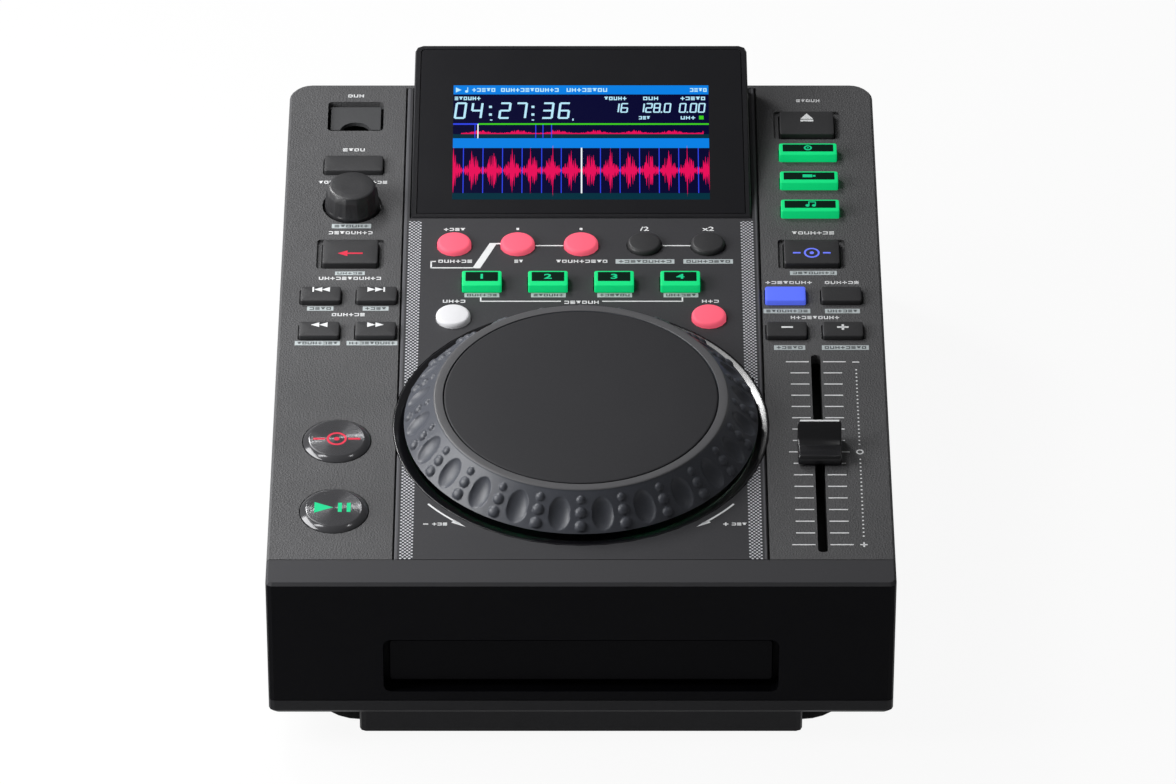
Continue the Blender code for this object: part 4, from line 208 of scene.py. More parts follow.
def build_grain_group():
    """Leather-like moulded grain: the distance to the nearest cell edge, softened, over a fine noise."""
    tree, given, out = start_group("moulded_grain", [
        ("Place", PLACE, None), ("Cell Scale", NUMBER, 1300.0), ("Fine Share", NUMBER, 0.35)],
        [("Height", NUMBER)])
    warp = wire(tree, "ShaderNodeTexNoise", {"Vector": given.outputs["Place"], "Scale": 500.0})
    shove = wire(tree, "ShaderNodeVectorMath", {0: warp.outputs["Color"], "Scale": 0.0006},
                 operation="SCALE")
    moved = wire(tree, "ShaderNodeVectorMath", {0: given.outputs["Place"], 1: shove.outputs[0]},
                 operation="ADD")
    cells = wire(tree, "ShaderNodeTexVoronoi", {"Vector": moved.outputs[0],
                                                "Scale": given.outputs["Cell Scale"]},
                 feature="DISTANCE_TO_EDGE")
    fine = wire(tree, "ShaderNodeTexNoise", {"Vector": given.outputs["Place"], "Scale": 3500.0,
                                             "Detail": 2.0})
    crown = reckon(tree, "MULTIPLY", cells.outputs["Distance"], 3.0)
    capped = reckon(tree, "MINIMUM", crown, 1.0)
    tree.links.new(reckon(tree, "MULTIPLY_ADD", fine.outputs["Fac"], given.outputs["Fine Share"],
                          capped), out.inputs["Height"])
    return tree


def build_dust_group():
    """Faint dust: a speckle noise over a threshold, kept to where the surface faces up."""
    tree, given, out = start_group("settled_dust", [
        ("Place", PLACE, None), ("Amount", NUMBER, 0.2), ("Speck Scale", NUMBER, 2200.0)],
        [("Mask", NUMBER)])
    specks = wire(tree, "ShaderNodeTexNoise", {"Vector": given.outputs["Place"],
                                               "Scale": given.outputs["Speck Scale"], "Detail": 0.0})
    drifts = wire(tree, "ShaderNodeTexNoise", {"Vector": given.outputs["Place"], "Scale": 14.0})
    facing = wire(tree, "ShaderNodeNewGeometry")
    upward = wire(tree, "ShaderNodeSeparateXYZ", {0: facing.outputs["True Normal"]})
    level = reckon(tree, "MAXIMUM", upward.outputs["Z"], 0.0)
    sharp = wire(tree, "ShaderNodeMapRange", {"Value": specks.outputs["Fac"], "From Min": 0.62,
                                              "From Max": 0.80})
    where = reckon(tree, "MULTIPLY", sharp.outputs["Result"], drifts.outputs["Fac"])
    shown = reckon(tree, "MULTIPLY", where, level)
    tree.links.new(reckon(tree, "MULTIPLY", shown, given.outputs["Amount"]), out.inputs["Mask"])
    return tree


def build_deck_group():
    """Deck place of a room point: the deck's origin is taken off and its slope turned back."""
    tree, given, out = start_group("deck_place", [], [("Across", NUMBER), ("Along", NUMBER),
                                                      ("Off", NUMBER)])
    room = wire(tree, "ShaderNodeTexCoord")
    turned = wire(tree, "ShaderNodeMapping", {"Vector": room.outputs["Object"],
                                              "Location": (0.0, FRONT_Y, FRONT_HEIGHT),
                                              "Rotation": (SLOPE, 0.0, 0.0)}, vector_type="TEXTURE")
    parts = wire(tree, "ShaderNodeSeparateXYZ", {0: turned.outputs[0]})
    for label, axis in (("Across", "X"), ("Along", "Y"), ("Off", "Z")):
        tree.links.new(parts.outputs[axis], out.inputs[label])
    return tree


def build_dots_group():
    """Staggered dots: the distance to the nearest point of a lattice and of the same one half a step on."""
    tree, given, out = start_group("dot_lattice", [
        ("Across", NUMBER, 0.0), ("Along", NUMBER, 0.0), ("Column", NUMBER, 0.00158),
        ("Row", NUMBER, 0.00173), ("Radius", NUMBER, 0.00040)], [("Mask", NUMBER)])
    masks = []
    for shift in (0.0, 0.5):
        squares = []
        for axis, step in (("Across", "Column"), ("Along", "Row")):
            share = reckon(tree, "DIVIDE", given.outputs[axis], given.outputs[step])
            part = reckon(tree, "FRACT", reckon(tree, "ADD", share, shift))
            off = reckon(tree, "MULTIPLY", reckon(tree, "SUBTRACT", part, 0.5), given.outputs[step])
            squares.append(reckon(tree, "MULTIPLY", off, off))
        distance = reckon(tree, "SQRT", reckon(tree, "ADD", squares[0], squares[1]))
        ratio = reckon(tree, "DIVIDE", distance, given.outputs["Radius"])
        soft = wire(tree, "ShaderNodeMapRange", {"Value": ratio, "From Min": 1.12, "From Max": 0.88})
        masks.append(soft.outputs["Result"])
    tree.links.new(reckon(tree, "MAXIMUM", masks[0], masks[1]), out.inputs["Mask"])
    return tree


TONE, GRAIN, DUST = build_tone_group(), build_grain_group(), build_dust_group()
DECK_PLACE, DOTS = build_deck_group(), build_dots_group()
print("shader groups:", [g.name for g in bpy.data.node_groups])

# %% [markdown]
# ## Finishes
#
# One function writes a finish: a base colour that wanders, a roughness, a moulded grain as bump and a
# little dust. Its numbers are set on the shader's own sockets, and only what changes over the surface
# comes through nodes. The colours are those that the photograph shows under a plain soft light.

# %% Finish function


def finish(name, colour, roughness, metallic=0.0, specular=0.5, coat=0.0, spread=0.12,
           grain=0.0, cell_scale=1300.0, fine_scale=900.0, dust=0.0, glow=0.0):
    """Material: wandering colour, a grain bump whose height is grain in metres, and settled dust."""
    made = bpy.data.materials.new(name)
    made.use_nodes = True
    tree = made.node_tree
    shader = tree.nodes["Principled BSDF"]
    place = wire(tree, "ShaderNodeTexCoord").outputs["Object"]
    tone = wire(tree, "ShaderNodeGroup", node_tree=TONE)
    tree.links.new(place, tone.inputs["Place"])
    tone.inputs["Colour"].default_value = (*colour, 1.0)
    tone.inputs["Spread"].default_value = spread
    tone.inputs["Fine Scale"].default_value = fine_scale
    shown = tone.outputs["Colour"]
    if dust:
        fall = wire(tree, "ShaderNodeGroup", node_tree=DUST)
        tree.links.new(place, fall.inputs["Place"])
        fall.inputs["Amount"].default_value = dust
        shown = blend_colours(tree, fall.outputs["Mask"], shown, (0.55, 0.55, 0.56, 1.0))
    tree.links.new(shown, shader.inputs["Base Color"])
    shader.inputs["Metallic"].default_value = metallic
    shader.inputs["Specular IOR Level"].default_value = specular
    shader.inputs["Coat Weight"].default_value = coat
    shader.inputs["Coat Roughness"].default_value = 0.06
    patch = wire(tree, "ShaderNodeTexNoise", {"Vector": place, "Scale": 60.0, "Detail": 3.0})
    rough = wire(tree, "ShaderNodeMapRange", {"Value": patch.outputs["Fac"],
                                              "To Min": roughness * 0.86,
                                              "To Max": min(1.0, roughness * 1.14)})
    tree.links.new(rough.outputs["Result"], shader.inputs["Roughness"])
    if grain:
        skin = wire(tree, "ShaderNodeGroup", node_tree=GRAIN)
        tree.links.new(place, skin.inputs["Place"])
        skin.inputs["Cell Scale"].default_value = cell_scale
        bump = wire(tree, "ShaderNodeBump", {"Height": skin.outputs["Height"], "Strength": 1.0,
                                             "Distance": grain})
        tree.links.new(bump.outputs["Normal"], shader.inputs["Normal"])
    if glow:
        tree.links.new(shown, shader.inputs["Emission Color"])
        shader.inputs["Emission Strength"].default_value = glow
    return made


def shader_of(material):
    """The Principled shader of a material."""
    return material.node_tree.nodes["Principled BSDF"]


def second_colour(material, mask, colour):
    """Lay a plain colour over a finish's own colour where a mask is one."""
    base = shader_of(material).inputs["Base Color"]
    paint = base.links[0].from_socket
    laid = blend_colours(material.node_tree, mask, paint, (*colour, 1.0))
    material.node_tree.links.new(laid, base)
    return material


def add_deck_place(material):
    """The deck place group's node inside a material."""
    return wire(material.node_tree, "ShaderNodeGroup", node_tree=DECK_PLACE)


# %% The player's finishes
wing_skin = finish("wing_skin", (0.088, 0.088, 0.091), 0.62, specular=0.25, spread=0.40,
                   grain=0.00010, cell_scale=1000.0, fine_scale=1500.0, dust=0.10)
sheet_black = finish("sheet_black", (0.012, 0.012, 0.014), 0.50, specular=0.15, spread=0.2,
                     grain=0.00002, cell_scale=2500.0)
flap_satin = finish("flap_satin", (0.058, 0.059, 0.062), 0.42, specular=0.30, spread=0.1,
                    grain=0.00001, cell_scale=3500.0, dust=0.02)
key_black = finish("key_black", (0.036, 0.036, 0.038), 0.42, specular=0.30, spread=0.12,
                   grain=0.000006, cell_scale=4000.0, dust=0.04)
knob_black = finish("knob_black", (0.026, 0.026, 0.028), 0.33, specular=0.50, spread=0.15,
                    grain=0.000008, cell_scale=4000.0, dust=0.05)
cap_gloss = finish("cap_gloss", (0.018, 0.018, 0.020), 0.26, specular=0.45, coat=0.2, spread=0.1)
bowl_gloss = finish("bowl_gloss", (0.006, 0.006, 0.008), 0.23, specular=0.90, spread=0.05)
wheel_rubber = finish("wheel_rubber", (0.068, 0.073, 0.088), 0.40, specular=0.45, spread=0.15,
                      grain=0.00001, cell_scale=3000.0, dust=0.06)
touch_satin = finish("touch_satin", (0.0290, 0.0290, 0.0320), 0.52, specular=0.19, spread=0.06,
                     grain=0.000006, cell_scale=5000.0, dust=0.02)
rubber_foot = finish("rubber_foot", (0.012, 0.012, 0.012), 0.85, specular=0.2, spread=0.3,
                     grain=0.00004, cell_scale=1500.0)
steel = finish("steel", (0.56, 0.57, 0.58), 0.32, metallic=1.0, spread=0.1)
glow_pink = finish("glow_pink", (0.62, 0.080, 0.125), 0.50, specular=0.2, spread=0.04, glow=0.85)
glow_green = finish("glow_green", (0.002, 0.42, 0.125), 0.42, specular=0.25, spread=0.05, glow=0.95)
glow_blue = finish("glow_blue", (0.070, 0.110, 0.62), 0.42, specular=0.25, spread=0.05, glow=0.85)
glow_white = finish("glow_white", (0.72, 0.72, 0.74), 0.50, specular=0.2, spread=0.03, glow=0.10)
window_dark = finish("window_dark", (0.002, 0.016, 0.009), 0.30, specular=0.15, spread=0.1)
print_white = finish("print_white", (0.80, 0.81, 0.82), 0.55, specular=0.2, spread=0.08,
                     fine_scale=2500.0)
print_grey = finish("print_grey", (0.50, 0.55, 0.56), 0.55, specular=0.2, spread=0.12,
                    fine_scale=2500.0)
print_dark = finish("print_dark", (0.10, 0.11, 0.115), 0.55, specular=0.2, spread=0.1)
mark_red = finish("mark_red", (0.45, 0.020, 0.045), 0.45, specular=0.2, spread=0.05, glow=0.75)
mark_green = finish("mark_green", (0.003, 0.36, 0.15), 0.45, specular=0.2, spread=0.05, glow=0.9)
mark_blue = finish("mark_blue", (0.10, 0.13, 0.60), 0.45, specular=0.2, spread=0.05, glow=0.9)
RIM_LEVEL = 12.95 * MM
on_rim = reckon(wheel_rubber.node_tree, "GREATER_THAN", add_deck_place(wheel_rubber).outputs["Off"],
                RIM_LEVEL)
second_colour(wheel_rubber, on_rim, (0.090, 0.090, 0.095))
print("finishes:", len(bpy.data.materials))

# %% [markdown]
# ### The centre plate's finish
#
# The plate is painted, with a strip of small pale dots down each side and a painted highlight along
# each edge, where its bevel would catch the light. Three thousand dots as shapes would be heavy, so the
# plate's own material draws them: it reads each point's place on the deck, keeps to two strips and lets
# the dot group say where a dot is.

# %% Plate finish
STRIP_INNER, STRIP_OUTER = 58.86 * MM, 63.60 * MM
STRIP_START, STRIP_END = 13.4 * MM, 207.6 * MM
EDGE_HIGHLIGHT_START = 64.35 * MM


def plate_finish():
    """Grey paint; near black with pale dots where |x| is in a strip; a painted highlight where |x| passes
    an edge.
    """
    made = finish("plate_paint", (0.046, 0.046, 0.050), 0.48, specular=0.19, spread=0.10,
                  grain=0.00001, cell_scale=3000.0, dust=0.03)
    tree = made.node_tree
    deck = add_deck_place(made)
    dots = wire(tree, "ShaderNodeGroup", node_tree=DOTS)
    for label in ("Across", "Along"):
        tree.links.new(deck.outputs[label], dots.inputs[label])
    side = reckon(tree, "ABSOLUTE", deck.outputs["Across"])
    inside = reckon(tree, "MULTIPLY", reckon(tree, "GREATER_THAN", side, STRIP_INNER),
                    reckon(tree, "LESS_THAN", side, STRIP_OUTER))
    length = reckon(tree, "MULTIPLY",
                    reckon(tree, "GREATER_THAN", deck.outputs["Along"], STRIP_START),
                    reckon(tree, "LESS_THAN", deck.outputs["Along"], STRIP_END))
    strip = reckon(tree, "MULTIPLY", inside, length)
    # Past the edge start the top is lighter: a painted highlight where the bevelled edge catches the light.
    edge = reckon(tree, "GREATER_THAN", side, EDGE_HIGHLIGHT_START)
    second_colour(made, edge, (0.100, 0.100, 0.108))
    second_colour(made, strip, (0.030, 0.032, 0.038))
    dotted = reckon(tree, "MULTIPLY", strip, dots.outputs["Mask"])
    return second_colour(made, dotted, (0.60, 0.61, 0.64))


plate_paint = plate_finish()

# %% [markdown]
# ## Shapes from rings
#
# Nearly every piece here is a skin over rings: a key is a rounded rectangle that shrinks as it rises,
# a knob is a circle that changes its radius. The rings are whole numpy arrays, one row for each ring,
# and one function joins them into a closed mesh. That is quicker and more exact than pushing vertices.

# %% Ring skins


def skin(rings, closed=False):
    """Points and faces of rings (rows, columns, 3): quads between the rows, a flat face at each end."""
    rings = np.asarray(rings, float)
    rows, columns = rings.shape[:2]
    index = np.arange(rows * columns).reshape(rows, columns)
    low, high = (index, np.roll(index, -1, 0)) if closed else (index[:-1], index[1:])
    quads = np.stack([low, np.roll(low, -1, 1), np.roll(high, -1, 1), high], -1).reshape(-1, 4)
    faces = quads.tolist()
    if not closed:
        faces += [index[0][::-1].tolist(), index[-1].tolist()]
    return rings.reshape(-1, 3), faces


def gather(parts):
    """One set of points and faces out of several, with each set's face numbers moved along."""
    points, faces, count = [], [], 0
    for some, polygons in parts:
        points.append(np.asarray(some, float).reshape(-1, 3))
        faces += [[i + count for i in polygon] for polygon in polygons]
        count += len(points[-1])
    return np.concatenate(points), faces


def add_piece(name, parts, material, body, stands_for=(), sharp=35.0):
    """Mesh object of one or more skins, faces turned out, riding on a body of the frame."""
    points, faces = gather(parts)
    mesh = bpy.data.meshes.new(name)
    mesh.from_pydata(points.tolist(), [], faces)
    work = bmesh.new()
    work.from_mesh(mesh)
    bmesh.ops.recalc_face_normals(work, faces=work.faces)
    work.to_mesh(mesh)
    work.free()
    mesh.materials.append(material)
    mesh.shade_smooth()
    mesh.set_sharp_from_angle(angle=math.radians(sharp))
    made = bpy.data.objects.new(name, mesh)
    bpy.context.scene.collection.objects.link(made)
    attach(made, body)
    if stands_for:
        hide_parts(*stands_for)
    return made


def turned(x, v, profile, sides):
    """Rings of a profile of (radius, height) turned about the line square to the deck at (x, v)."""
    profile = np.asarray(profile, float)
    angle = np.linspace(0, math.tau, sides, endpoint=False)
    radius, height = profile[:, :1], profile[:, 1:]
    return on_deck(x + radius * np.cos(angle), v + radius * np.sin(angle), height)


def round_rectangle(width, length, radius, steps=5):
    """Outline (n, 2): four quarter circles, each about a corner drawn in by the radius."""
    quarter = np.linspace(0, math.pi / 2, steps + 1)
    corners = []
    for i, (sx, sy) in enumerate(((1, 1), (-1, 1), (-1, -1), (1, -1))):
        turn = quarter + i * math.pi / 2
        corners.append(np.stack([sx * (width / 2 - radius) + radius * np.cos(turn),
                                 sy * (length / 2 - radius) + radius * np.sin(turn)], -1))
    return np.concatenate(corners)


def slab(outline, x, v, low, high, place=on_deck):
    """Flat shape with a thickness: its outline at two heights."""
    outline = np.asarray(outline, float)
    return skin([place(outline[:, 0] + x, outline[:, 1] + v, low),
                 place(outline[:, 0] + x, outline[:, 1] + v, high)])


def cushion(x, v, width, length, base, top, corner, edge, crown=0.0):
    """Block with rounded edges: the inset follows 1 - sin and the height cos of a quarter turn."""
    turn = np.linspace(0, math.pi / 2, 6)
    rows = [(0.0, base)]
    rows += [(edge * (1 - math.cos(t)), top - crown - edge * (1 - math.sin(t))) for t in turn]
    for share in (0.35, 0.7, 0.92):
        rows.append((edge + share * (min(width, length) / 2 - edge), top - crown * (1 - share) ** 2))
    rings = []
    for inset, height in rows:
        outline = round_rectangle(width - 2 * inset, length - 2 * inset,
                                  max(corner - inset, 0.12 * MM))
        rings.append(on_deck(outline[:, 0] + x, outline[:, 1] + v, height))
    return skin(rings)


print("ring tools ready")

# %% [markdown]
# ## Keys
#
# A key is a moulded cap with a small radius all round, standing one or two millimetres over the deck.
# The edge radius matters more than anything else about it, because the bright line on its far edge is
# what makes it read as a key. Each cap starts below the deck, so no light shows under it.

# %% Plain and wide keys
WING = 84.8 * MM
NEAR, FAR = WING - 10.2 * MM, WING + 10.2 * MM
CAP_FOOT = -3.8 * MM
RISE, WIDE_RISE = 1.9 * MM, 1.5 * MM
SMALL, WIDE, BACK = (14.7 * MM, 8.6 * MM), (20.4 * MM, 14.4 * MM), (21.9 * MM, 9.6 * MM)
PLAIN_KEYS = [
    ("back_button", -WING, 241.1 * MM, BACK, RISE, key_black),
    ("reverse_button", -WING, 187.7 * MM, WIDE, WIDE_RISE, key_black),
    ("track_back_button", -FAR, 162.0 * MM, SMALL, RISE, key_black),
    ("track_forward_button", -NEAR, 162.0 * MM, SMALL, RISE, key_black),
    ("search_back_button", -FAR, 141.3 * MM, SMALL, RISE, key_black),
    ("search_forward_button", -NEAR, 141.3 * MM, SMALL, RISE, key_black),
    ("eject_button", WING, 266.8 * MM, WIDE, WIDE_RISE, key_black),
    ("jog_mode_button", WING, 187.7 * MM, WIDE, WIDE_RISE, key_black),
    ("key_lock_button", NEAR, 162.0 * MM, SMALL, RISE, glow_blue),
    ("tempo_tap_button", FAR, 162.0 * MM, SMALL, RISE, key_black),
    ("bend_minus_button", NEAR, 141.3 * MM, SMALL, RISE, key_black),
    ("bend_plus_button", FAR, 141.3 * MM, SMALL, RISE, key_black),
]
for name, x, row, (width, length), height, material in PLAIN_KEYS:
    cap = cushion(x, row, width, length, CAP_FOOT, height, 0.9 * MM, 0.45 * MM, 0.12 * MM)
    add_piece(name.replace("button", "cap"), [cap], material, name, [name])
print("plain keys:", len(PLAIN_KEYS))

# %% [markdown]
# ### Keys with a window
#
# The source keys and the numbered keys are a clear green moulding that is lit from below, with a dark
# window in the back half of the top. The moulding and the window are two shapes, because a painted
# window would have no step at its edge.

# %% Window keys
SOURCE_ROWS = [(247.9 - i * 17.35) * MM for i in range(3)]
WINDOW_KEYS = [(f"{source}_source_button", WING, row, 21.5 * MM, 7.2 * MM, 3.2 * MM)
               for source, row in zip(("disc", "usb", "midi"), SOURCE_ROWS)]
WINDOW_KEYS += [(f"hot_cue_button_{i + 1}", (i - 1.5) * 24.2 * MM, 169.6 * MM, 14.5 * MM, 8.9 * MM,
                 3.0 * MM) for i in range(4)]
WINDOW_SHARE = 0.60
for name, x, row, width, length, height in WINDOW_KEYS:
    body = cushion(x, row, width, length, CAP_FOOT, height, 0.8 * MM, 0.35 * MM, 0.04 * MM)
    add_piece(name.replace("button", "cap"), [body], glow_green, name, [name])
    glass_length = length * WINDOW_SHARE
    glass_row = row + length / 2 - 0.9 * MM - glass_length / 2
    glass = cushion(x, glass_row, width - 2.6 * MM, glass_length, height - 0.3 * MM,
                    height + 0.06 * MM, 0.3 * MM, 0.05 * MM)
    add_piece(name.replace("button", "window"), [glass], window_dark, name)
print("window keys:", len(WINDOW_KEYS))

# %% [markdown]
# ### Round pads
#
# The loop, shift and slip buttons are soft pucks: a straight side, a round shoulder and a top that
# bulges a little. Turning one profile gives them all.

# %% Pads
PAD_ROW = 193.1 * MM
PADS = [("auto_loop_button", -46.7 * MM, PAD_ROW, glow_pink),
        ("loop_in_button", -23.35 * MM, PAD_ROW, glow_pink),
        ("loop_out_button", 0.0, PAD_ROW, glow_pink),
        ("loop_halve_button", 23.35 * MM, PAD_ROW, key_black),
        ("loop_double_button", 46.7 * MM, PAD_ROW, key_black),
        ("shift_button", -46.5 * MM, 150.0 * MM, glow_white),
        ("slip_button", 46.5 * MM, 150.0 * MM, glow_pink)]


def puck_profile(radius, shoulder, height, round_share=0.2, points=10):
    """Profile of a soft puck: a straight side, a quarter ellipse shoulder, then a shallow bulge."""
    turn = np.linspace(0, math.pi / 2, points)
    run = radius * round_share
    rise = (height - shoulder) * 0.85
    edge = np.stack([radius - run * (1 - np.cos(turn)), shoulder + rise * np.sin(turn)], -1)
    share = np.linspace(0, 0.98, points)[1:]
    top = np.stack([(radius - run) * (1 - share),
                    shoulder + rise + (height - shoulder - rise) * (1 - (1 - share) ** 2)], -1)
    return np.concatenate([[[radius, CAP_FOOT]], edge, top])


for name, x, row, material in PADS:
    puck = skin(turned(x, row, puck_profile(6.3 * MM, 0.5 * MM, 2.0 * MM), 72))
    add_piece(name.replace("button", "pad"), [puck], material, name, [name])
print("pads:", len(PADS))

# %% [markdown]
# ### Cue and play buttons
#
# These two are wide discs with a broad bevel and a spun top: rings far too fine to see one by one
# spread each lamp's reflection into a bright streak through the middle. The rings lean the normal to
# and fro along the radius from the button's own centre, so the streaks turn with the lamps and not
# with the camera. The bevel stays smooth and shows each lamp as a small bright patch.

# %% Spun discs
CUE_X, CUE_ROW, PLAY_ROW = -87.0 * MM, 78.7 * MM, 39.7 * MM
FACE_RADIUS = 9.8 * MM
GROOVES = math.tau / (0.11 * MM)


def spun_finish(name, x, row):
    """Dark spun metal whose normal leans along the radius by the sine of distance over a fine pitch."""
    made = finish(name, (0.072, 0.072, 0.077), 0.17, metallic=0.30, specular=0.4, coat=0.55,
                  spread=0.05)
    tree = made.node_tree
    deck = add_deck_place(made)
    away_x = reckon(tree, "SUBTRACT", deck.outputs["Across"], x)
    away_v = reckon(tree, "SUBTRACT", deck.outputs["Along"], row)
    distance = reckon(tree, "SQRT", reckon(tree, "ADD", reckon(tree, "MULTIPLY", away_x, away_x),
                                           reckon(tree, "MULTIPLY", away_v, away_v)))
    wave = reckon(tree, "SINE", reckon(tree, "MULTIPLY", distance, GROOVES))
    flat = reckon(tree, "LESS_THAN", distance, FACE_RADIUS)
    lean = reckon(tree, "MULTIPLY", reckon(tree, "MULTIPLY", wave, flat), 0.38)
    share = reckon(tree, "DIVIDE", lean, reckon(tree, "MAXIMUM", distance, 0.1 * MM))
    along = reckon(tree, "MULTIPLY", away_v, math.cos(SLOPE))
    rise = reckon(tree, "MULTIPLY", away_v, math.sin(SLOPE))
    out = wire(tree, "ShaderNodeCombineXYZ", {"X": away_x, "Y": along, "Z": rise})
    pushed = wire(tree, "ShaderNodeVectorMath", {0: out.outputs[0]}, operation="SCALE")
    tree.links.new(share, pushed.inputs["Scale"])
    facing = wire(tree, "ShaderNodeNewGeometry")
    summed = wire(tree, "ShaderNodeVectorMath", {0: facing.outputs["Normal"], 1: pushed.outputs[0]},
                  operation="ADD")
    unit = wire(tree, "ShaderNodeVectorMath", {0: summed.outputs[0]}, operation="NORMALIZE")
    tree.links.new(unit.outputs[0], shader_of(made).inputs["Normal"])
    return made


def disc_profile(radius, height):
    """Profile of a wide button: straight side, a bevel that bulges by a sine and a nearly flat face."""
    share = np.linspace(0, 1, 7)
    bevel = np.stack([radius - 0.12 * MM - 2.0 * MM * share,
                      0.26 * MM + (height - 0.36 * MM) * share + 0.10 * MM * np.sin(math.pi * share)], -1)
    inner = np.linspace(0, 0.985, 14)
    face = np.stack([(radius - 2.3 * MM) * (1 - inner), height - 0.06 * MM * (1 - inner) ** 2], -1)
    return np.concatenate([[[radius, CAP_FOOT], [radius, 0.12 * MM]], bevel, face])


for name, row in (("cue_button", CUE_ROW), ("play_button", PLAY_ROW)):
    disc = skin(turned(CUE_X, row, disc_profile(12.05 * MM, 1.6 * MM), 128))
    add_piece(name.replace("button", "disc"), [disc], spun_finish(name + "_spun", CUE_X, row), name,
              [name], sharp=50.0)
print("spun discs: 2")

# %% [markdown]
# ## Browse knob
#
# The knob is a short taper with flats all round for the fingers and a chamfer at its top. The flats
# come from a radius that follows the straight side of a polygon between its corners, so the same ring
# skin makes it, and the corners fade out towards the chamfer.

# %% Knob
KNOB_ROW = 217.3 * MM
KNOB_FLATS = 14


def knob_rings(sides=196):
    """Rings whose radius is that of a polygon, flat apothem over cos of the angle to its middle."""
    angle = np.linspace(0, math.tau, sides, endpoint=False)
    step = math.tau / KNOB_FLATS
    off = np.mod(angle, step) - step / 2
    polygon = math.cos(step / 2) / np.cos(off)
    rows = [(10.15, -1.2, 0.2), (10.15, 0.6, 0.3), (10.0, 1.2, 1.0), (9.55, 6.9, 1.0), (9.45, 7.2, 0.9),
            (8.75, 8.55, 0.4), (8.45, 8.95, 0.1), (8.1, 9.12, 0.0), (7.6, 9.2, 0.0), (4.0, 9.17, 0.0),
            (0.3, 9.16, 0.0)]
    rings = []
    for radius, height, flatness in rows:
        shape = radius * MM * (1 + flatness * (polygon - 1))
        rings.append(on_deck(-WING + shape * np.cos(angle), KNOB_ROW + shape * np.sin(angle), height * MM))
    return rings


add_piece("browse_cap", [skin(knob_rings())], knob_black, "browse_knob", ["browse_knob"], sharp=22.0)
print("knob with", KNOB_FLATS, "flats")

# %% [markdown]
# ## Jog wheel
#
# The wheel's skirt carries a grip pattern: tall oval hollows, and between them columns of three small
# bumps. Both are added to one cone as offsets along its normal. An oval is a smooth bowl where its
# ellipse distance is under one, and a bump a smooth dome where its distance is under one.

# %% Wheel skirt
JOG_ROW = 88.1 * MM
REPEATS = 24
FOOT, SHOULDER = np.array([63.25, 1.9]) * MM, np.array([52.7, 12.7]) * MM


def skirt_offset(angle, share):
    """Offset along the cone's normal: ovals go in by (1 - d^2)^0.7, bumps out by sqrt(1 - d^2)."""
    pitch = math.tau / REPEATS
    beside = (np.mod(angle + pitch / 2, pitch) - pitch / 2) * 58.2 * MM
    around = (np.mod(angle, pitch) - pitch / 2) * 58.2 * MM
    slant = float(np.linalg.norm(FOOT - SHOULDER))
    along = share * slant
    oval = (around / (3.8 * MM)) ** 2 + ((along - 0.46 * slant) / (5.9 * MM)) ** 2
    offset = -1.5 * MM * np.clip(1 - oval, 0, None) ** 0.7
    for centre, radius in ((0.17, 2.0), (0.49, 1.95), (0.79, 1.5)):
        distance = (beside / (radius * MM)) ** 2 + ((along - centre * slant) / (radius * MM)) ** 2
        offset += 0.55 * radius * MM * np.sqrt(np.clip(1 - distance, 0, None))
    return offset


def wheel_rings(columns=24 * 44):
    """Rings of the wheel: under edge, patterned skirt, round shoulder, flat rim, recess for the plate."""
    angle = np.linspace(0, math.tau, columns, endpoint=False)
    share = np.linspace(0, 1, 52)[:, None]
    along = FOOT + share * (SHOULDER - FOOT)
    normal = np.array([FOOT[1] - SHOULDER[1], SHOULDER[0] - FOOT[0]])
    normal = -normal / np.linalg.norm(normal)
    offset = skirt_offset(angle[None, :], share)
    fade = np.clip(np.minimum(share / 0.03, (1 - share) / 0.05), 0, 1)
    offset = offset * fade
    radius = along[:, :1] + normal[0] * offset
    height = along[:, 1:] + normal[1] * offset
    turn = np.linspace(0, math.pi / 2, 7)[1:]
    lower = np.array([[60.7, 1.9], [62.6, 1.6]]) * MM
    round_over = np.stack([SHOULDER[0] - 0.75 * MM * (1 - np.cos(turn)),
                           SHOULDER[1] + 0.5 * MM * np.sin(turn)], -1)
    rim = np.array([[50.6, 13.2], [49.35, 13.15], [49.15, 12.9], [49.1, 10.95], [46.5, 10.9]]) * MM
    plain = np.ones_like(angle)
    rows = [(r * plain, h * plain) for r, h in lower]
    rows += list(zip(radius, height))
    rows += [(r * plain, h * plain) for r, h in np.concatenate([round_over, rim])]
    return [on_deck(r * np.cos(angle), JOG_ROW + r * np.sin(angle), h) for r, h in rows]


rings = wheel_rings()
hub = turned(0.0, JOG_ROW, np.array([[46.5, 10.9], [14.9, 10.9], [14.9, -2.2], [11.4, -2.2], [11.4, 8.9],
                                     [47.0, 8.9], [60.7, 1.9]]) * MM, 24 * 44)
wheel = skin(np.concatenate([np.asarray(rings), hub[1:-1]]), closed=True)
add_piece("wheel_skirt", [wheel], wheel_rubber, "jog_wheel", ["jog_wheel"], sharp=40.0)
print("wheel:", len(wheel[1]), "faces,", REPEATS, "grips")

# %% [markdown]
# ### Touch plate and bowl
#
# The plate is a plain painted disc with a fine turned edge. The bowl is glossy black: a lip level with
# the deck, a shallow ring that catches the main lamp on its far right, a drop to the floor and a post
# in the middle. Both are turned profiles with enough sides that no facet shows.

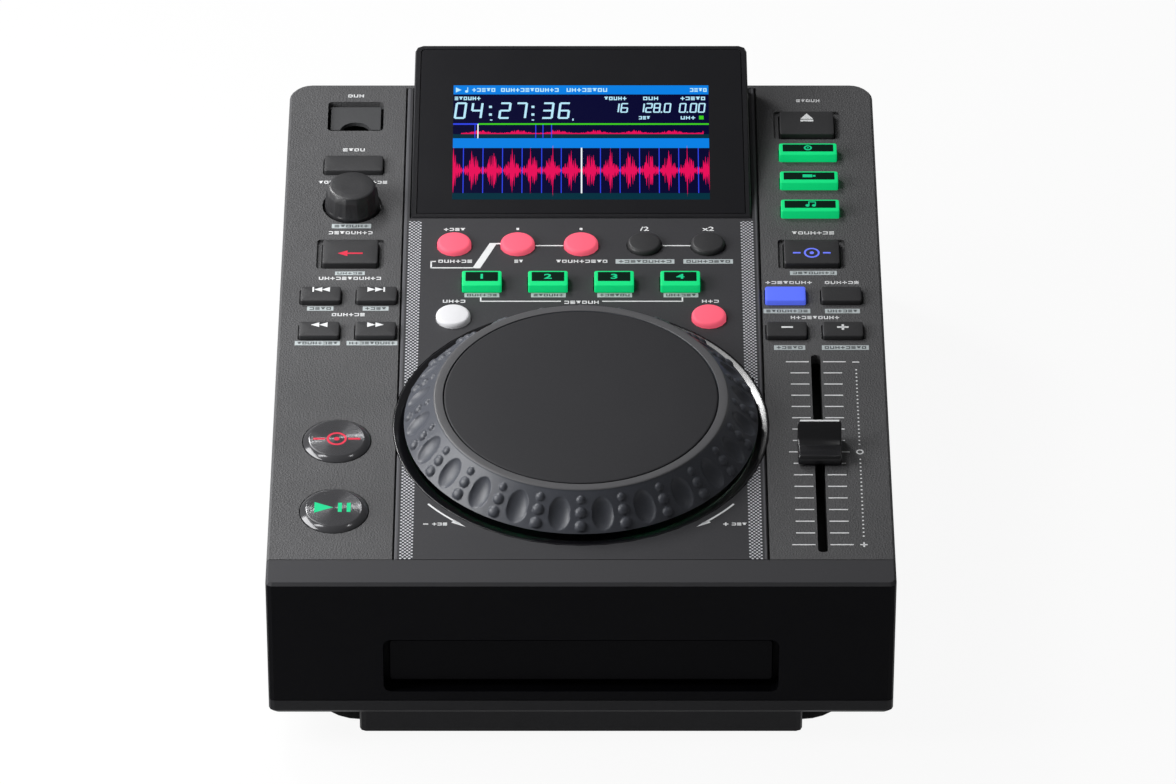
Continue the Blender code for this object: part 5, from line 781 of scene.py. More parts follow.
# %% Plate and bowl
plate_profile = np.array([[48.8, 11.3], [48.8, 12.85], [48.7, 13.08], [48.45, 13.18], [48.1, 13.2],
                          [30.0, 13.2], [0.4, 13.2]]) * MM
add_piece("touch_disc", [skin(turned(0.0, JOG_ROW, plate_profile, 192))], touch_satin, "jog_wheel",
          ["jog_touch_plate"])
bowl_profile = np.array([[62.0, -8.0], [69.0, -6.3], [69.0, -4.3], [67.1, -4.3], [67.1, -0.25],
                         [67.0, -0.05], [66.8, 0.0], [66.5, -0.06], [66.2, -0.16], [64.6, -0.72],
                         [62.9, -1.4], [62.5, -1.7], [62.2, -2.3], [61.9, -5.6], [61.2, -6.0],
                         [6.0, -6.0], [6.0, 8.3], [0.4, 8.3]]) * MM
add_piece("wheel_bowl", [skin(turned(0.0, JOG_ROW, bowl_profile, 192))], bowl_gloss, "root",
          ["jog_base"], sharp=30.0)
print("bowl and plate done")

# %% [markdown]
# ## Pitch fader
#
# The fader's cap has a low lip in front, a scooped middle for the fingertip and a tall ridge behind.
# It is one side view carried across the width, drawn in a little at both ends so that its edges are
# round. The side view is a few heights joined by straight legs and then smoothed.

# %% Fader cap
FADER_ROW = 72.7 * MM


def cap_side(count=64):
    """Top line of the cap: straight legs, then twice each height becomes the mean of three."""
    at = np.array([-8.15, -7.6, -6.8, -4.2, -0.6, 1.6, 3.2, 4.5, 4.95, 5.8, 6.1, 8.15])
    high = np.array([2.6, 3.9, 4.2, 3.5, 3.45, 4.6, 7.0, 9.5, 10.0, 10.0, 9.5, 3.2])
    y = np.linspace(at[0], at[-1], count)
    top = np.interp(y, at, high)
    for _ in range(2):
        top[1:-1] = (top[:-2] + top[1:-1] + top[2:]) / 3
    return y, top


def cap_rings():
    """Closed side views across the width: the outermost drawn in by a quarter round."""
    y, top = cap_side()
    outline = np.concatenate([np.stack([y, top], -1), [[8.15, 1.0], [-8.15, 1.0]]])
    turn = np.linspace(0, math.pi / 2, 5)
    half = 7.8
    stations = [(-half + 0.9 * (1 - math.cos(t)), 0.9 * (1 - math.sin(t))) for t in turn]
    stations += [(-x, inset) for x, inset in stations[::-1]]
    rings = []
    for x, inset in stations:
        drawn = outline.copy()
        drawn[:, 0] *= 1 - inset / 8.15
        drawn[:, 1] = np.maximum(drawn[:, 1] - inset, 1.0)
        rings.append(on_deck(WING + x * MM, FADER_ROW + drawn[:, 0] * MM, drawn[:, 1] * MM))
    return rings


stem = slab(round_rectangle(1.8 * MM, 8.0 * MM, 0.2 * MM), WING, FADER_ROW, -9.6 * MM, 1.6 * MM)
add_piece("fader_cap", [skin(cap_rings()), stem], cap_gloss, "pitch_fader", ["pitch_fader"], sharp=40.0)
fader_top = cap_side()[1].max() * MM
print("fader cap done")

# %% [markdown]
# ## Printed marks
#
# The real deck is printed in white. Its words aren't copied: where a word stands, there is a row of
# short bars or a small sign that anybody may use, and the lines, brackets and arrows are kept. Each
# mark is a slab a few hundredths of a millimetre thick, so it takes light like real ink.

# %% Mark tools
INK = 0.04 * MM
ROOT_DROP = 0.15 * MM
SIGN_KINDS = (("top", "low", "left", "right"), ("top", "low", "middle"), ("post", "middle"),
              ("left", "low", "right"), ("top", "block"), ("top", "right", "low"),
              ("left", "middle", "right"))


def bar(x, v, width, length):
    """Rectangle about (x, v), in millimetres."""
    half = np.array([[-1, -1], [1, -1], [1, 1], [-1, 1]]) / 2
    return half * [width, length] + [x, v]


def signs(x, v, width, height, count, first=0):
    """Row of plain signs in place of a word: rings, bars, crosses and corners taken in turn."""
    step = width / count
    wide, pen = step * 0.80, min(0.42, height * 0.26)
    shapes = []
    for i in range(count):
        at = x - width / 2 + step * (i + 0.5)
        top, low = v + (height - pen) / 2, v - (height - pen) / 2
        left, right = at - (wide - pen) / 2, at + (wide - pen) / 2
        rail = {"top": bar(at, top, wide, pen), "low": bar(at, low, wide, pen),
                "left": bar(left, v, pen, height), "right": bar(right, v, pen, height),
                "middle": bar(at, v, wide, pen), "post": bar(at, v, pen, height),
                "block": bar(at, v, wide * 0.55, height * 0.6)}
        shapes += [rail[k] for k in SIGN_KINDS[(first + i * 3) % len(SIGN_KINDS)]]
    return shapes


def words(*rows):
    """Rows of signs, each given as x, v, width, height, count and first kind."""
    return [shape for row in rows for shape in signs(*row)]


def line(points, width):
    """Path of a pen: one thin rectangle for each leg, made longer by half the pen at both ends."""
    shapes = []
    for (ax, ay), (bx, by) in zip(points, points[1:]):
        span = math.hypot(bx - ax, by - ay)
        ux, uy = (bx - ax) / span, (by - ay) / span
        hx, hy = ux * width / 2, uy * width / 2
        shapes.append(np.array([[ax - hx + hy, ay - hy - hx], [bx + hx + hy, by + hy - hx],
                                [bx + hx - hy, by + hy + hx], [ax - hx - hy, ay - hy + hx]]))
    return shapes


def ring_shape(x, v, outer, inner, start=0.0, end=360.0, steps=48):
    """Arc as a closed band: the outer arc forwards and the inner one back."""
    turn = np.radians(np.linspace(start, end, steps))
    way = np.stack([np.cos(turn), np.sin(turn)], -1)
    return np.concatenate([way * outer, way[::-1] * inner]) + [x, v]


def triangle(x, v, width, length, facing):
    """Triangle whose tip points right, left, up or down."""
    base = {"right": [(-1, -1), (1, 0), (-1, 1)], "left": [(1, -1), (1, 1), (-1, 0)],
            "up": [(-1, -1), (1, -1), (0, 1)], "down": [(-1, 1), (0, -1), (1, 1)]}[facing]
    return np.array(base, float) / 2 * [width, length] + [x, v]


def marks(name, shapes, material, body="root", height=0.0, thick=INK):
    """Piece of many flat marks on one surface; the shapes are in millimetres."""
    parts = [slab(np.asarray(s) * MM, 0.0, 0.0, height - ROOT_DROP, height + thick) for s in shapes]
    return add_piece(name, parts, material, body)


def label_plates(side, rows):
    """Pale plates with dark signs: a row is a plate's x, v, width and length, then its signs' numbers."""
    marks(side + "_plates", [bar(*row[:4]) for row in rows], print_grey)
    dark = words(*[(*row[:2], *row[4:]) for row in rows])
    marks(side + "_knockouts", dark, print_dark, thick=2 * INK)


def glyphs(text, size, bold=0.0):
    """Points and faces of digits or signs set with Blender's own letterforms, standing on the origin."""
    curve = bpy.data.curves.new("digits", "FONT")
    curve.body = text
    curve.size = size
    curve.offset = bold
    curve.align_x = "CENTER"
    curve.extrude = (INK + ROOT_DROP) / 2 / MM
    made = bpy.data.objects.new("digits", curve)
    bpy.context.scene.collection.objects.link(made)
    bpy.context.view_layer.update()
    mesh = bpy.data.meshes.new_from_object(made.evaluated_get(bpy.context.evaluated_depsgraph_get()))
    points = np.zeros(len(mesh.vertices) * 3)
    mesh.vertices.foreach_get("co", points)
    faces = [list(p.vertices) for p in mesh.polygons]
    bpy.data.objects.remove(made)
    bpy.data.curves.remove(curve)
    bpy.data.meshes.remove(mesh)
    return points.reshape(-1, 3), faces


def set_digits(text, size, x, v, height, bold=0.0, stretch=1.0):
    """Digits in millimetres on the deck, centred on (x, v)."""
    points, faces = glyphs(text, size, bold)
    points[:, 1] -= (points[:, 1].min() + points[:, 1].max()) / 2
    points[:, 0] -= (points[:, 0].min() + points[:, 0].max()) / 2
    level = height - ROOT_DROP + (points[:, 2] - points[:, 2].min()) * MM
    return on_deck((x + points[:, 0] * stretch) * MM, (v + points[:, 1]) * MM, level), faces


# %% Marks on the left wing
marks("left_marks", words(
    (-85.0, 285.4, 6.4, 1.8, 3, 0), (-85.0, 251.5, 8.6, 1.8, 4, 1), (-94.8, 231.4, 6.0, 1.8, 3, 4),
    (-75.0, 231.4, 6.0, 1.8, 3, 2), (-85.0, 200.6, 16.6, 1.8, 8, 5), (-84.6, 173.2, 23.2, 1.8, 11, 3),
    (-84.7, 151.7, 12.4, 1.8, 6, 0)), print_white)
label_plates("left", [
    (-84.8, 204.6, 14.5, 2.6, 12.9, 1.5, 6, 1), (-84.7, 176.2, 10.9, 2.1, 9.5, 1.3, 5, 3),
    (-95.0, 155.3, 9.6, 2.5, 8.2, 1.5, 4, 5), (-74.8, 155.3, 9.4, 2.5, 8.0, 1.5, 4, 2),
    (-95.5, 135.0, 16.4, 2.5, 14.9, 1.5, 8, 4), (-75.7, 135.0, 18.4, 2.5, 16.9, 1.5, 9, 6)])

# %% Marks on the centre plate
centre = words((-46.7, 202.6, 8.2, 1.7, 4, 2))
centre += [bar(-23.35, 202.9, 1.0, 1.3), bar(0.0, 202.9, 1.0, 1.3)]
centre += words((-46.2, 183.4, 12.8, 1.8, 6, 0), (-22.9, 183.4, 3.4, 1.8, 2, 1),
                (0.3, 183.4, 19.2, 1.8, 9, 4))
centre += line([(-53.6, 183.3), (-55.0, 183.3), (-55.0, 179.5), (-39.5, 179.5)], 0.6)
centre += [np.array([[-39.9, 179.2], [-37.0, 179.2], [-31.2, 193.6], [-29.6, 193.6], [-29.6, 194.4],
                     [-33.6, 194.4]])]
centre += line([(-16.6, 192.8), (-6.8, 192.8)], 0.6) + line([(30.2, 192.8), (40.0, 192.8)], 0.6)
centre += line([(-36.6, 161.6), (-36.6, 159.6), (-7.6, 159.6)], 0.55)
centre += line([(8.0, 159.6), (37.0, 159.6), (37.0, 161.6)], 0.55)
centre += words((0.2, 159.0, 13.0, 1.8, 6, 5), (-46.3, 159.6, 8.6, 1.7, 4, 3),
                (47.2, 159.6, 6.6, 1.7, 3, 6))
for side in (-1, 1):
    arc = ring_shape(0.0, JOG_ROW / MM, 70.2, 69.5, 219.5, 232.5)
    tip = np.array([[-45.6, 33.4], [-40.6, 31.1], [-44.6, 34.9]])
    centre += [arc * [-side, 1], tip * [-side, 1]]
centre += [bar(-54.6, 32.6, 1.8, 0.5), bar(50.9, 32.6, 1.8, 0.5), bar(50.9, 32.6, 0.5, 1.8)]
centre += words((-49.7, 32.6, 5.6, 1.5, 3, 2), (55.6, 32.6, 5.6, 1.5, 3, 5))
label_plates("centre", [
    (23.5, 183.3, 21.6, 2.6, 19.8, 1.5, 9, 2), (46.7, 183.3, 18.2, 2.6, 16.4, 1.5, 8, 0),
    *[(x, 163.2, 12.7, 2.5, 11.2, 1.4, 6, i) for i, x in enumerate((-36.2, -11.9, 12.3, 36.5))]])
parts = [slab(np.asarray(s) * MM, 0.0, 0.0, -ROOT_DROP, INK) for s in centre]
parts.append(set_digits("/2", 3.4, 23.4, 203.0, 0.0, 0.06, stretch=1.25))
parts.append(set_digits("x2", 3.4, 46.9, 203.0, 0.0, 0.06, stretch=1.25))
add_piece("centre_marks", parts, print_white, "root")

# %% Marks on the right wing
FADER_V = FADER_ROW / MM
marks("right_marks", words(
    (85.6, 282.3, 9.2, 1.7, 5, 1), (85.6, 200.5, 16.0, 1.8, 7, 4), (76.0, 170.7, 17.4, 1.7, 8, 2),
    (95.4, 170.7, 12.8, 1.7, 6, 0), (85.1, 150.0, 18.0, 1.8, 9, 6)), print_white)
label_plates("right", [
    (85.2, 176.4, 17.2, 2.4, 15.6, 1.4, 8, 5), (75.0, 153.8, 17.0, 2.6, 15.4, 1.5, 8, 1),
    (95.2, 153.8, 12.7, 2.6, 11.2, 1.5, 6, 3), (75.5, 132.4, 11.3, 2.6, 9.8, 1.5, 5, 2),
    (95.7, 132.4, 17.0, 2.6, 15.4, 1.5, 8, 0)])
scale = []
for i in range(17):
    v = 21.3 + 6.43 * i
    reach = 10.8 if i in (0, 8, 16) else 9.3
    for side in (-1, 1):
        scale.append(bar(84.8 + side * (2.6 + reach) / 2, v, reach - 2.6, 0.55))
for v in np.linspace(26.0, 119.5, 45):
    if abs(v - FADER_V) > 2.6:
        scale.append(ring_shape(99.2, v, 0.36, 0.02, 0, 360, 12))
scale.append(ring_shape(99.2, FADER_V, 1.35, 0.85, 0, 360, 40))
scale += [bar(99.2, 124.0, 2.6, 0.55), bar(99.2, 21.3, 2.6, 0.6), bar(99.2, 21.3, 0.6, 2.6)]
marks("fader_scale", scale, print_white)
marks("fader_line", [bar(84.8, 78.1, 14.0, 0.85)], print_white, "pitch_fader", fader_top)
print("marks on the deck done")

# %% Signs on the keys
DISC_TOP, DISC_INK = 1.57 * MM, 0.05 * MM


def skip_sign(x, v, forward):
    """Two triangles and an end bar: the usual sign for the next or the last track."""
    way = 1 if forward else -1
    facing = "right" if forward else "left"
    return [triangle(x - way * 1.9, v, 2.9, 2.7, facing), triangle(x + way * 0.9, v, 2.9, 2.7, facing),
            bar(x + way * 2.75, v, 0.6, 2.7)]


def seek_sign(x, v, forward):
    """Two triangles: the usual sign for moving fast through a track."""
    way = 1 if forward else -1
    facing = "right" if forward else "left"
    return [triangle(x - way * 1.5, v, 3.0, 2.7, facing), triangle(x + way * 1.5, v, 3.0, 2.7, facing)]


for kind, row, sign in (("track", 164.2, skip_sign), ("search", 143.4, seek_sign)):
    for way, x in (("back", -95.0), ("forward", -74.6)):
        marks(f"{kind}_{way}_sign", sign(x, row, way == "forward"), print_white,
              f"{kind}_{way}_button", RISE)
marks("bend_minus_sign", [bar(74.8, 142.0, 4.2, 0.9)], print_white, "bend_minus_button", RISE)
marks("bend_plus_sign", [bar(95.0, 142.0, 4.2, 0.9), bar(95.0, 142.0, 0.9, 3.2)], print_white,
      "bend_plus_button", RISE)
marks("eject_sign", [triangle(84.9, 270.6, 4.9, 3.4, "up"), bar(84.9, 267.9, 4.9, 1.1)], print_white,
      "eject_button", WIDE_RISE)
marks("reverse_sign", [triangle(-87.6, 186.3, 3.6, 3.4, "left"),
                       *line([(-85.4, 186.3), (-80.6, 186.3)], 0.8)],
      mark_red, "reverse_button", WIDE_RISE)
marks("jog_mode_sign", [ring_shape(84.8, 186.6, 2.9, 2.2), ring_shape(84.8, 186.6, 0.8, 0.02),
                        *line([(89.3, 186.6), (91.3, 186.6)], 0.8),
                        *line([(78.3, 186.6), (80.3, 186.6)], 0.8)],
      mark_blue, "jog_mode_button", WIDE_RISE)
marks("cue_sign", [ring_shape(CUE_X / MM, 78.2, 3.6, 2.75), *line([(-94.9, 78.2), (-91.6, 78.2)], 0.95),
                   *line([(-82.4, 78.2), (-79.1, 78.2)], 0.95), ring_shape(CUE_X / MM, 78.2, 1.0, 0.02)],
      mark_red, "cue_button", DISC_TOP, thick=DISC_INK)
marks("play_sign", [triangle(-90.6, 39.9, 6.6, 5.8, "right"), bar(-84.9, 39.9, 1.4, 5.0),
                    bar(-81.8, 39.9, 1.4, 5.0)],
      mark_green, "play_button", DISC_TOP, thick=DISC_INK)
for i, (name, x, row, width, length, height) in enumerate(WINDOW_KEYS):
    glass_row = (row + length / 2 - 0.9 * MM - length * WINDOW_SHARE / 2) / MM
    top = height + 0.06 * MM
    if name.startswith("hot"):
        number = set_digits(name[-1], 3.9, x / MM, glass_row, top, 0.10, stretch=1.5)
        add_piece(name.replace("button", "digit"), [number], mark_green, name)
    else:
        source = i % 3
        shapes = ([ring_shape(x / MM, glass_row, 1.5, 0.9), ring_shape(x / MM, glass_row, 0.35, 0.02)],
                  [bar(x / MM - 0.6, glass_row, 3.6, 1.7), bar(x / MM + 1.9, glass_row, 1.0, 1.0)],
                  [ring_shape(x / MM - 1.0, glass_row - 0.8, 0.75, 0.02),
                   bar(x / MM - 0.45, glass_row + 0.3, 0.4, 2.4),
                   ring_shape(x / MM + 1.4, glass_row - 0.8, 0.75, 0.02),
                   bar(x / MM + 1.95, glass_row + 0.3, 0.4, 2.4),
                   bar(x / MM + 0.75, glass_row + 1.35, 2.8, 0.5)])[source]
        marks(name.replace("button", "sign"), shapes, mark_green, name, top)
print("signs on the keys done")

# %% [markdown]
# ## The display
#
# The display glows behind a glossy black window. Its picture is made from formulas: a header bar, a
# clock in seven-segment digits, a short overview and a long wave of pulses with a playing line in the
# middle. Each colour is its own thin piece just over the window, with a glow of about its own colour.

# %% Display finishes
def lit(name, colour, strength=1.0):
    """Glowing colour under a glossy face: nearly all of what shows is its own light."""
    made = finish(name, colour, 0.35, specular=0.06, spread=0.02, glow=strength)
    shade = shader_of(made)
    shade.inputs["Base Color"].default_value = (0.0, 0.0, 0.0, 1.0)
    for link in list(shade.inputs["Base Color"].links):
        made.node_tree.links.remove(link)
    return made


lit_navy = lit("lit_navy", (0.0015, 0.0015, 0.030))
lit_bar = lit("lit_bar", (0.002, 0.215, 0.78))
lit_thin = lit("lit_thin", (0.030, 0.060, 0.82))
lit_digit = lit("lit_digit", (0.50, 0.84, 1.0))
lit_wave = lit("lit_wave", (0.80, 0.004, 0.10))
lit_green = lit("lit_green", (0.05, 0.62, 0.012))
lit_white = lit("lit_white", (0.90, 0.97, 1.0))
lit_teal = lit("lit_teal", (0.0005, 0.030, 0.050))

# %% Display picture
SEGMENTS = {"0": "abcdef", "1": "bc", "2": "abged", "3": "abgcd", "4": "fgbc", "5": "afgcd",
            "6": "afgedc", "7": "abc", "8": "abcdefg", "9": "abcdfg"}


def segment_digit(figure, x, s, width, height, pen):
    """Bars of one seven-segment figure whose lower left corner is at (x, s)."""
    half = height / 2
    place = {"a": (x + width / 2, s + height, width, pen), "g": (x + width / 2, s + half, width, pen),
             "d": (x + width / 2, s, width, pen), "f": (x, s + half * 1.5, pen, half),
             "b": (x + width, s + half * 1.5, pen, half), "e": (x, s + half * 0.5, pen, half),
             "c": (x + width, s + half * 0.5, pen, half)}
    return [bar(*place[k]) for k in SEGMENTS[figure]]


def lean(shapes, s, slope=0.10):
    """The same shapes pushed sideways by their height over a line times a slope."""
    return [np.stack([shape[:, 0] + slope * (shape[:, 1] - s), shape[:, 1]], -1) for shape in shapes]


def figures(text, x, s, width, height, pen, step):
    """Bars of a row of figures; a point is a small square between two of them."""
    shapes = []
    for sign in text:
        if sign == ".":
            shapes.append(bar(x - 0.1, s, pen * 1.1, pen * 1.1))
            x += step * 0.30
        else:
            shapes += lean(segment_digit(sign, x, s, width, height, pen), s)
            x += step
    return shapes


LCD_LEFT, LCD_RIGHT, LCD_LOW, LCD_HIGH = -47.8, 47.8, 8.95, 65.1
LIT_FOOT = -0.1 * MM


def lit_top(level):
    """Height of one of the display's few thin levels over the window: 0.02 mm and 0.012 mm a level."""
    return (0.02 + 0.012 * level) * MM


def lit_marks(name, shapes, material, level):
    """Display marks at one level over the window."""
    parts = [slab(np.asarray(s) * MM, 0.0, 0.0, LIT_FOOT, lit_top(level), on_screen) for s in shapes]
    return add_piece(name, parts, material, "root")


wide = LCD_RIGHT - LCD_LEFT
lit_marks("display_ground", [bar(0.0, (LCD_LOW + LCD_HIGH) / 2, wide, LCD_HIGH - LCD_LOW)], lit_navy, 0)
lit_marks("display_header", [bar(0.0, 62.85, wide, 4.5), bar(0.0, 36.5, wide, 4.8)], lit_bar, 1)
lit_marks("display_foot", [bar(0.0, 10.5, wide, 3.1), bar(0.0, 39.95, wide, 1.9)], lit_teal, 1)
clock = []
for pair, x in (("04", -47.2), ("27", -30.6), ("36", -14.5)):
    clock += figures(pair, x, 48.9, 3.5, 7.3, 0.85, 6.1)
for x in (-33.9, -18.0):
    clock += [bar(x, 50.6, 1.1, 1.1), bar(x, 54.4, 1.1, 1.1)]
small = []
for number, x, width, step in (("16", 11.6, 2.3, 3.3), ("128.0", 21.2, 2.1, 3.0), ("0.00", 36.8, 2.1, 3.1)):
    small += figures(number, x, 51.8, width, 4.2, 0.55, step)
small += words((-42.5, 58.6, 10.0, 1.7, 6, 1), (12.9, 58.6, 8.6, 1.7, 5, 4), (26.1, 58.6, 6.0, 1.7, 3, 0),
               (41.9, 58.6, 9.6, 1.7, 5, 2), (23.7, 49.0, 4.4, 1.6, 3, 5), (40.0, 49.0, 5.8, 1.6, 3, 3))
small += [bar(-33.6, 47.9, 0.9, 0.5), bar(-18.0, 47.9, 0.9, 0.5), bar(-3.0, 48.1, 0.5, 1.0)]
head = [triangle(-45.9, 62.8, 2.1, 2.5, "right"), ring_shape(-42.9, 62.1, 0.6, 0.02, 0, 360, 16)]
head += [bar(-42.5, 63.1, 0.3, 2.0)]
head += words((-36.5, 62.8, 9.0, 1.8, 5, 2), (-19.2, 62.8, 22.0, 1.8, 12, 0),
              (2.2, 62.8, 15.6, 1.8, 8, 3), (44.0, 62.8, 6.6, 1.8, 4, 5))
lit_marks("display_clock", clock + small + head, lit_digit, 3)
lit_marks("display_green", [bar(4.7, 45.9, wide - 9.4, 0.75), bar(45.0, 49.1, 1.7, 1.8)], lit_green, 3)


def pulse_wave(start, end, high, beat, count):
    """Height of a wave: a spindle between each two beats, roughened by fast sines of unlike pitch."""
    x = np.linspace(start, end, count)
    part = np.mod((x - start) / beat, 1.0)
    spindle = 0.17 + 0.83 * np.exp(-((part - 0.5) / 0.23) ** 2)
    rough = 0.50 + 0.22 * np.sin(8.3 * x) + 0.16 * np.sin(13.7 * x + 1.1) + 0.20 * np.sin(2.9 * x + 0.6)
    spike = 0.30 * np.clip(np.sin(5.27 * x + 0.4), 0, None) ** 8
    return x, high * spindle * np.clip(rough + spike, 0.16, None)


def band_shape(x, top, low, level):
    """Closed thin band between two curves: each ring is its four corners at one place along it."""
    high = lit_top(level)
    corners = [(low, LIT_FOOT), (top, LIT_FOOT), (top, high), (low, high)]
    return skin(np.stack([on_screen(x * MM, s * MM, h) for s, h in corners], 1))


FIRST_BEAT, BEAT = -43.8, 7.29
WAVE_MIDDLE, OVERVIEW_LOW = 23.1, 41.0
x, high = pulse_wave(FIRST_BEAT - BEAT, LCD_RIGHT, 10.6, BEAT, 1150)
kept = x > LCD_LEFT
x, high = x[kept], high[kept]
add_piece("display_wave", [band_shape(x, WAVE_MIDDLE + high, WAVE_MIDDLE - high, 2)], lit_wave, "root")
x, high = pulse_wave(LCD_LEFT + 3, LCD_RIGHT - 2, 2.2, 14.4, 300)
overview = band_shape(x, OVERVIEW_LOW + 0.3 + np.clip(high, 0, 1.8), np.full_like(x, OVERVIEW_LOW), 2)
add_piece("display_overview", [overview], lit_wave, "root")
beats = [bar(FIRST_BEAT + BEAT * i, WAVE_MIDDLE, 0.36, 22.0) for i in range(13) if i != 6]
beats += [bar(x, 42.3, 0.36, 6.4) for x in (-16.9, -14.2, -11.0, -39.6)]
beats += [bar(-43.1, 45.9, 9.4, 0.75)]
lit_marks("display_beats", beats, lit_thin, 3)
lit_marks("display_now", [bar(0.2, WAVE_MIDDLE, 0.55, 22.2), bar(-38.5, 42.4, 0.45, 7.0)], lit_white, 4)
print("display done")

# %% [markdown]
# ## Finishes for the pieces that stay
#
# The case, plates, pod, feet and rear sockets already have the right shape, so they keep it and only
# get a finish. A board is one solid with its sockets, so its finish changes with the place: black
# inside the case and metal where the barrels pass through the rear panel.

# %% Rear and board finishes
PANEL_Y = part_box("rear_panel")[1].y


def board_finish():
    """Black board, but nickel from the rear panel backwards, by the room's y."""
    made = finish("board_mask", (0.010, 0.012, 0.012), 0.42, specular=0.2, spread=0.2)
    tree = made.node_tree
    room = wire(tree, "ShaderNodeTexCoord")
    parts = wire(tree, "ShaderNodeSeparateXYZ", {0: room.outputs["Object"]})
    outside = reckon(tree, "GREATER_THAN", parts.outputs["Y"], PANEL_Y - 2.5 * MM)
    tree.links.new(outside, shader_of(made).inputs["Metallic"])
    return second_colour(made, outside, (0.62, 0.58, 0.50))


board_black = board_finish()


def front_finish():
    """Grey band on top and near black below the deck's edge, partly painted shade, by the distance off the
    deck's plane.
    """
    made = finish("front_paint_with_painted_shade", (0.0042, 0.0042, 0.0055), 0.48, specular=0.04, spread=0.1,
                  grain=0.00001, cell_scale=3500.0)
    # Below the deck's edge the front is near black: a dark paint, darkened further as painted shade where
    # the lamps behind don't reach.
    above = reckon(made.node_tree, "GREATER_THAN", add_deck_place(made).outputs["Off"], -1.1 * MM)
    return second_colour(made, above, (0.062, 0.062, 0.066))


front_paint_with_painted_shade = front_finish()


def pod_finish():
    """Near black on the pod's face and grey on its flanks, by the distance under the face's plane."""
    made = finish("pod_skin", (0.0145, 0.0145, 0.0165), 0.38, specular=0.13, spread=0.1,
                  grain=0.00001, cell_scale=3500.0, dust=0.02)
    tree = made.node_tree
    deck = add_deck_place(made)
    fall = reckon(tree, "MULTIPLY", reckon(tree, "SUBTRACT", deck.outputs["Along"], POD_FRONT),
                  math.sin(TILT))
    off = reckon(tree, "SUBTRACT", reckon(tree, "MULTIPLY", deck.outputs["Off"], math.cos(TILT)), fall)
    flank = reckon(tree, "LESS_THAN", off, -0.25 * MM)
    return second_colour(made, flank, (0.070, 0.070, 0.074))


tray_paint = finish("tray_paint", (0.0022, 0.0022, 0.0032), 0.42, specular=0.04, spread=0.1,
                    grain=0.00001, cell_scale=3500.0)
window_gloss = finish("window_gloss", (0.0125, 0.0125, 0.0145), 0.30, specular=0.16, spread=0.02)
display_back = finish("display_back", (0.010, 0.012, 0.030), 0.30, spread=0.05)
pod_skin = pod_finish()
PLAIN_FINISH = [
    (wing_skin, ["top_case"]), (front_paint_with_painted_shade, ["front_fascia"]),
    (plate_paint, ["centre_plate", "front_plate"]), (pod_skin, ["screen_housing"]),
    (window_gloss, ["screen_window"]), (display_back, ["lcd_module"]),
    (tray_paint, ["tray_fascia"]), (flap_satin, ["usb_door"]),
    (sheet_black, ["bottom_chassis", "rear_panel"]),
    (key_black, ["mains_inlet", "power_switch", "disc_tray", "turntable"]),
    (board_black, ["main_board", "control_board", "power_board"]),
    (steel, ["usb_a_socket", "encoder_rotor", "jog_bearing", "drive_chassis", "laser_sled"]),
    (rubber_foot, ["foot_front_left", "foot_front_right", "foot_rear_left", "foot_rear_right"]),
]
for material, names in PLAIN_FINISH:
    for name in names:
        nodes[name].data.materials.clear()
        nodes[name].data.materials.append(material)
print("plain pieces finished:", sum(len(names) for material, names in PLAIN_FINISH))

# %% [markdown]
# ## Floor and light
#
# A player like this is photographed on white. The main lamp stands behind on the left, so shadows
# fall to the right and forward, and a wide one over it shines in the far wall of the bowl. A low soft
# lamp close to the left side brightens that wing and the grips. Two small ones overhead are there for
# what they show in the polished buttons. The floor is pale, and shows as white to the camera without
# throwing more light on the player.

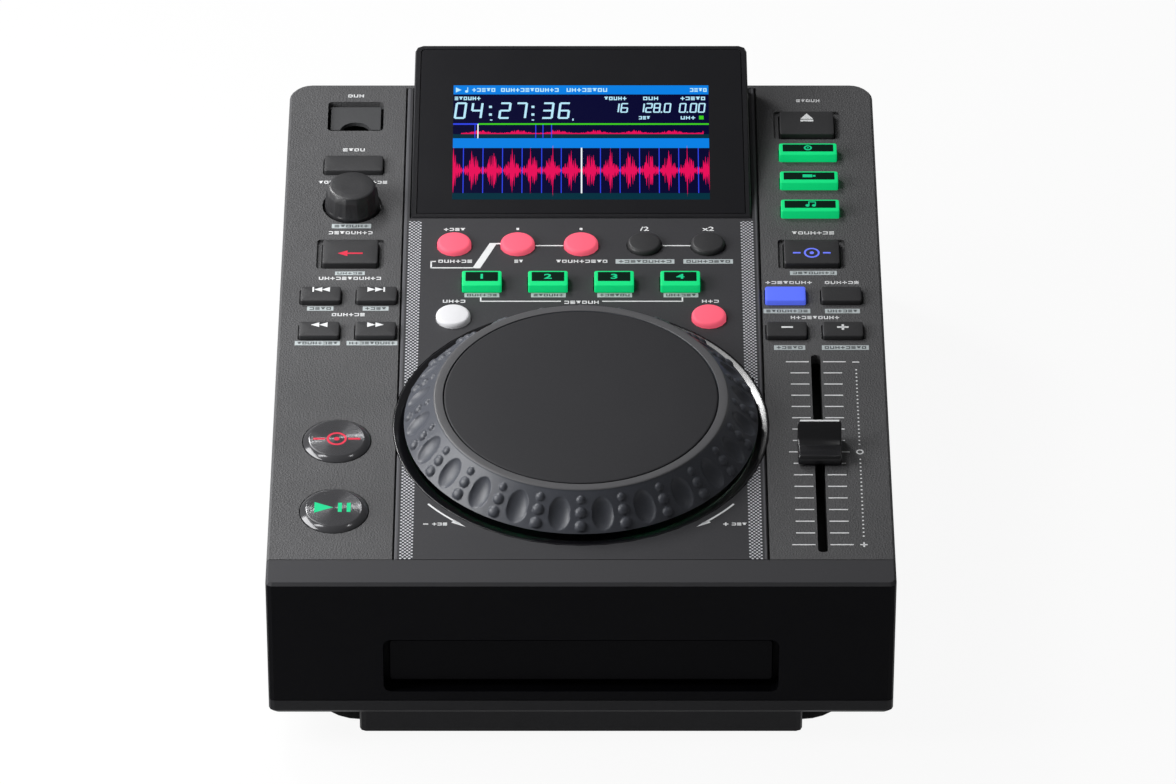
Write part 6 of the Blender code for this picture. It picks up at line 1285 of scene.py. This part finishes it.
# %% Floor
def floor_finish():
    """Pale floor: plain diffuse for the player, with some glow of its own for the camera and gloss."""
    made = bpy.data.materials.new("floor_paper")
    made.use_nodes = True
    tree = made.node_tree
    shader = shader_of(made)
    shader.inputs["Base Color"].default_value = (0.86, 0.86, 0.86, 1.0)
    shader.inputs["Roughness"].default_value = 0.9
    shader.inputs["Specular IOR Level"].default_value = 0.0
    path = wire(tree, "ShaderNodeLightPath")
    seen = reckon(tree, "MAXIMUM", path.outputs["Is Camera Ray"], path.outputs["Is Glossy Ray"])
    seen = reckon(tree, "MAXIMUM", seen, path.outputs["Is Transmission Ray"])
    glow = wire(tree, "ShaderNodeEmission", {"Color": (1.0, 1.0, 1.0, 1.0), "Strength": 1.0})
    mixed = wire(tree, "ShaderNodeMixShader")
    share = reckon(tree, "MULTIPLY", seen, 0.93)
    tree.links.new(share, mixed.inputs[0])
    tree.links.new(shader.outputs[0], mixed.inputs[1])
    tree.links.new(glow.outputs[0], mixed.inputs[2])
    tree.links.new(mixed.outputs[0], tree.nodes["Material Output"].inputs["Surface"])
    return made


FLOOR_HALF = 6.0
corners = [(x * FLOOR_HALF, y * FLOOR_HALF, 0) for x, y in ((-1, -1), (1, -1), (1, 1), (-1, 1))]
floor_mesh = bpy.data.meshes.new("floor")
floor_mesh.from_pydata(corners, [], [(0, 1, 2, 3)])
floor_mesh.materials.append(floor_finish())
floor = bpy.data.objects.new("floor", floor_mesh)
bpy.context.scene.collection.objects.link(floor)

# %% Lamps
DECK_MIDDLE, WING_MIDDLE = (0.0, 0.0, 0.08), (-0.08, -0.07, 0.08)
LAMPS = [("key_lamp", (-0.40, 0.555, 0.68), DECK_MIDDLE, 0.16, 0.16, 2.6),
         ("soft_lamp", (-0.39, 0.39, 0.785), DECK_MIDDLE, 0.40, 0.40, 2.0),
         ("side_lamp", (-0.44, -0.08, 0.30), (0.0, 0.0, 0.07), 0.40, 0.24, 2.6),
         ("left_spark", (-0.497, -0.137, 0.875), WING_MIDDLE, 0.12, 0.28, 1.0),
         ("right_spark", (0.301, -0.155, 0.884), WING_MIDDLE, 0.09, 0.09, 0.20)]


def add_lamp(name, place, aim, wide, tall, power):
    """Soft lamp at a place that faces a point: a glowing rectangle, wide by tall in metres."""
    data = bpy.data.lights.new(name, "AREA")
    data.shape = "RECTANGLE"
    data.size = wide
    data.size_y = tall
    data.energy = power
    made = bpy.data.objects.new(name, data)
    bpy.context.scene.collection.objects.link(made)
    made.location = place
    made.rotation_euler = (Vector(aim) - Vector(place)).to_track_quat("-Z", "Y").to_euler()
    return made


for lamp in LAMPS:
    add_lamp(*lamp)
world = bpy.data.worlds.new("studio")
bpy.context.scene.world = world
world.use_nodes = True
world.node_tree.nodes["Background"].inputs["Color"].default_value = (1.0, 1.0, 1.0, 1.0)
world.node_tree.nodes["Background"].inputs["Strength"].default_value = 0.10
bpy.context.scene.view_settings.view_transform = "Standard"
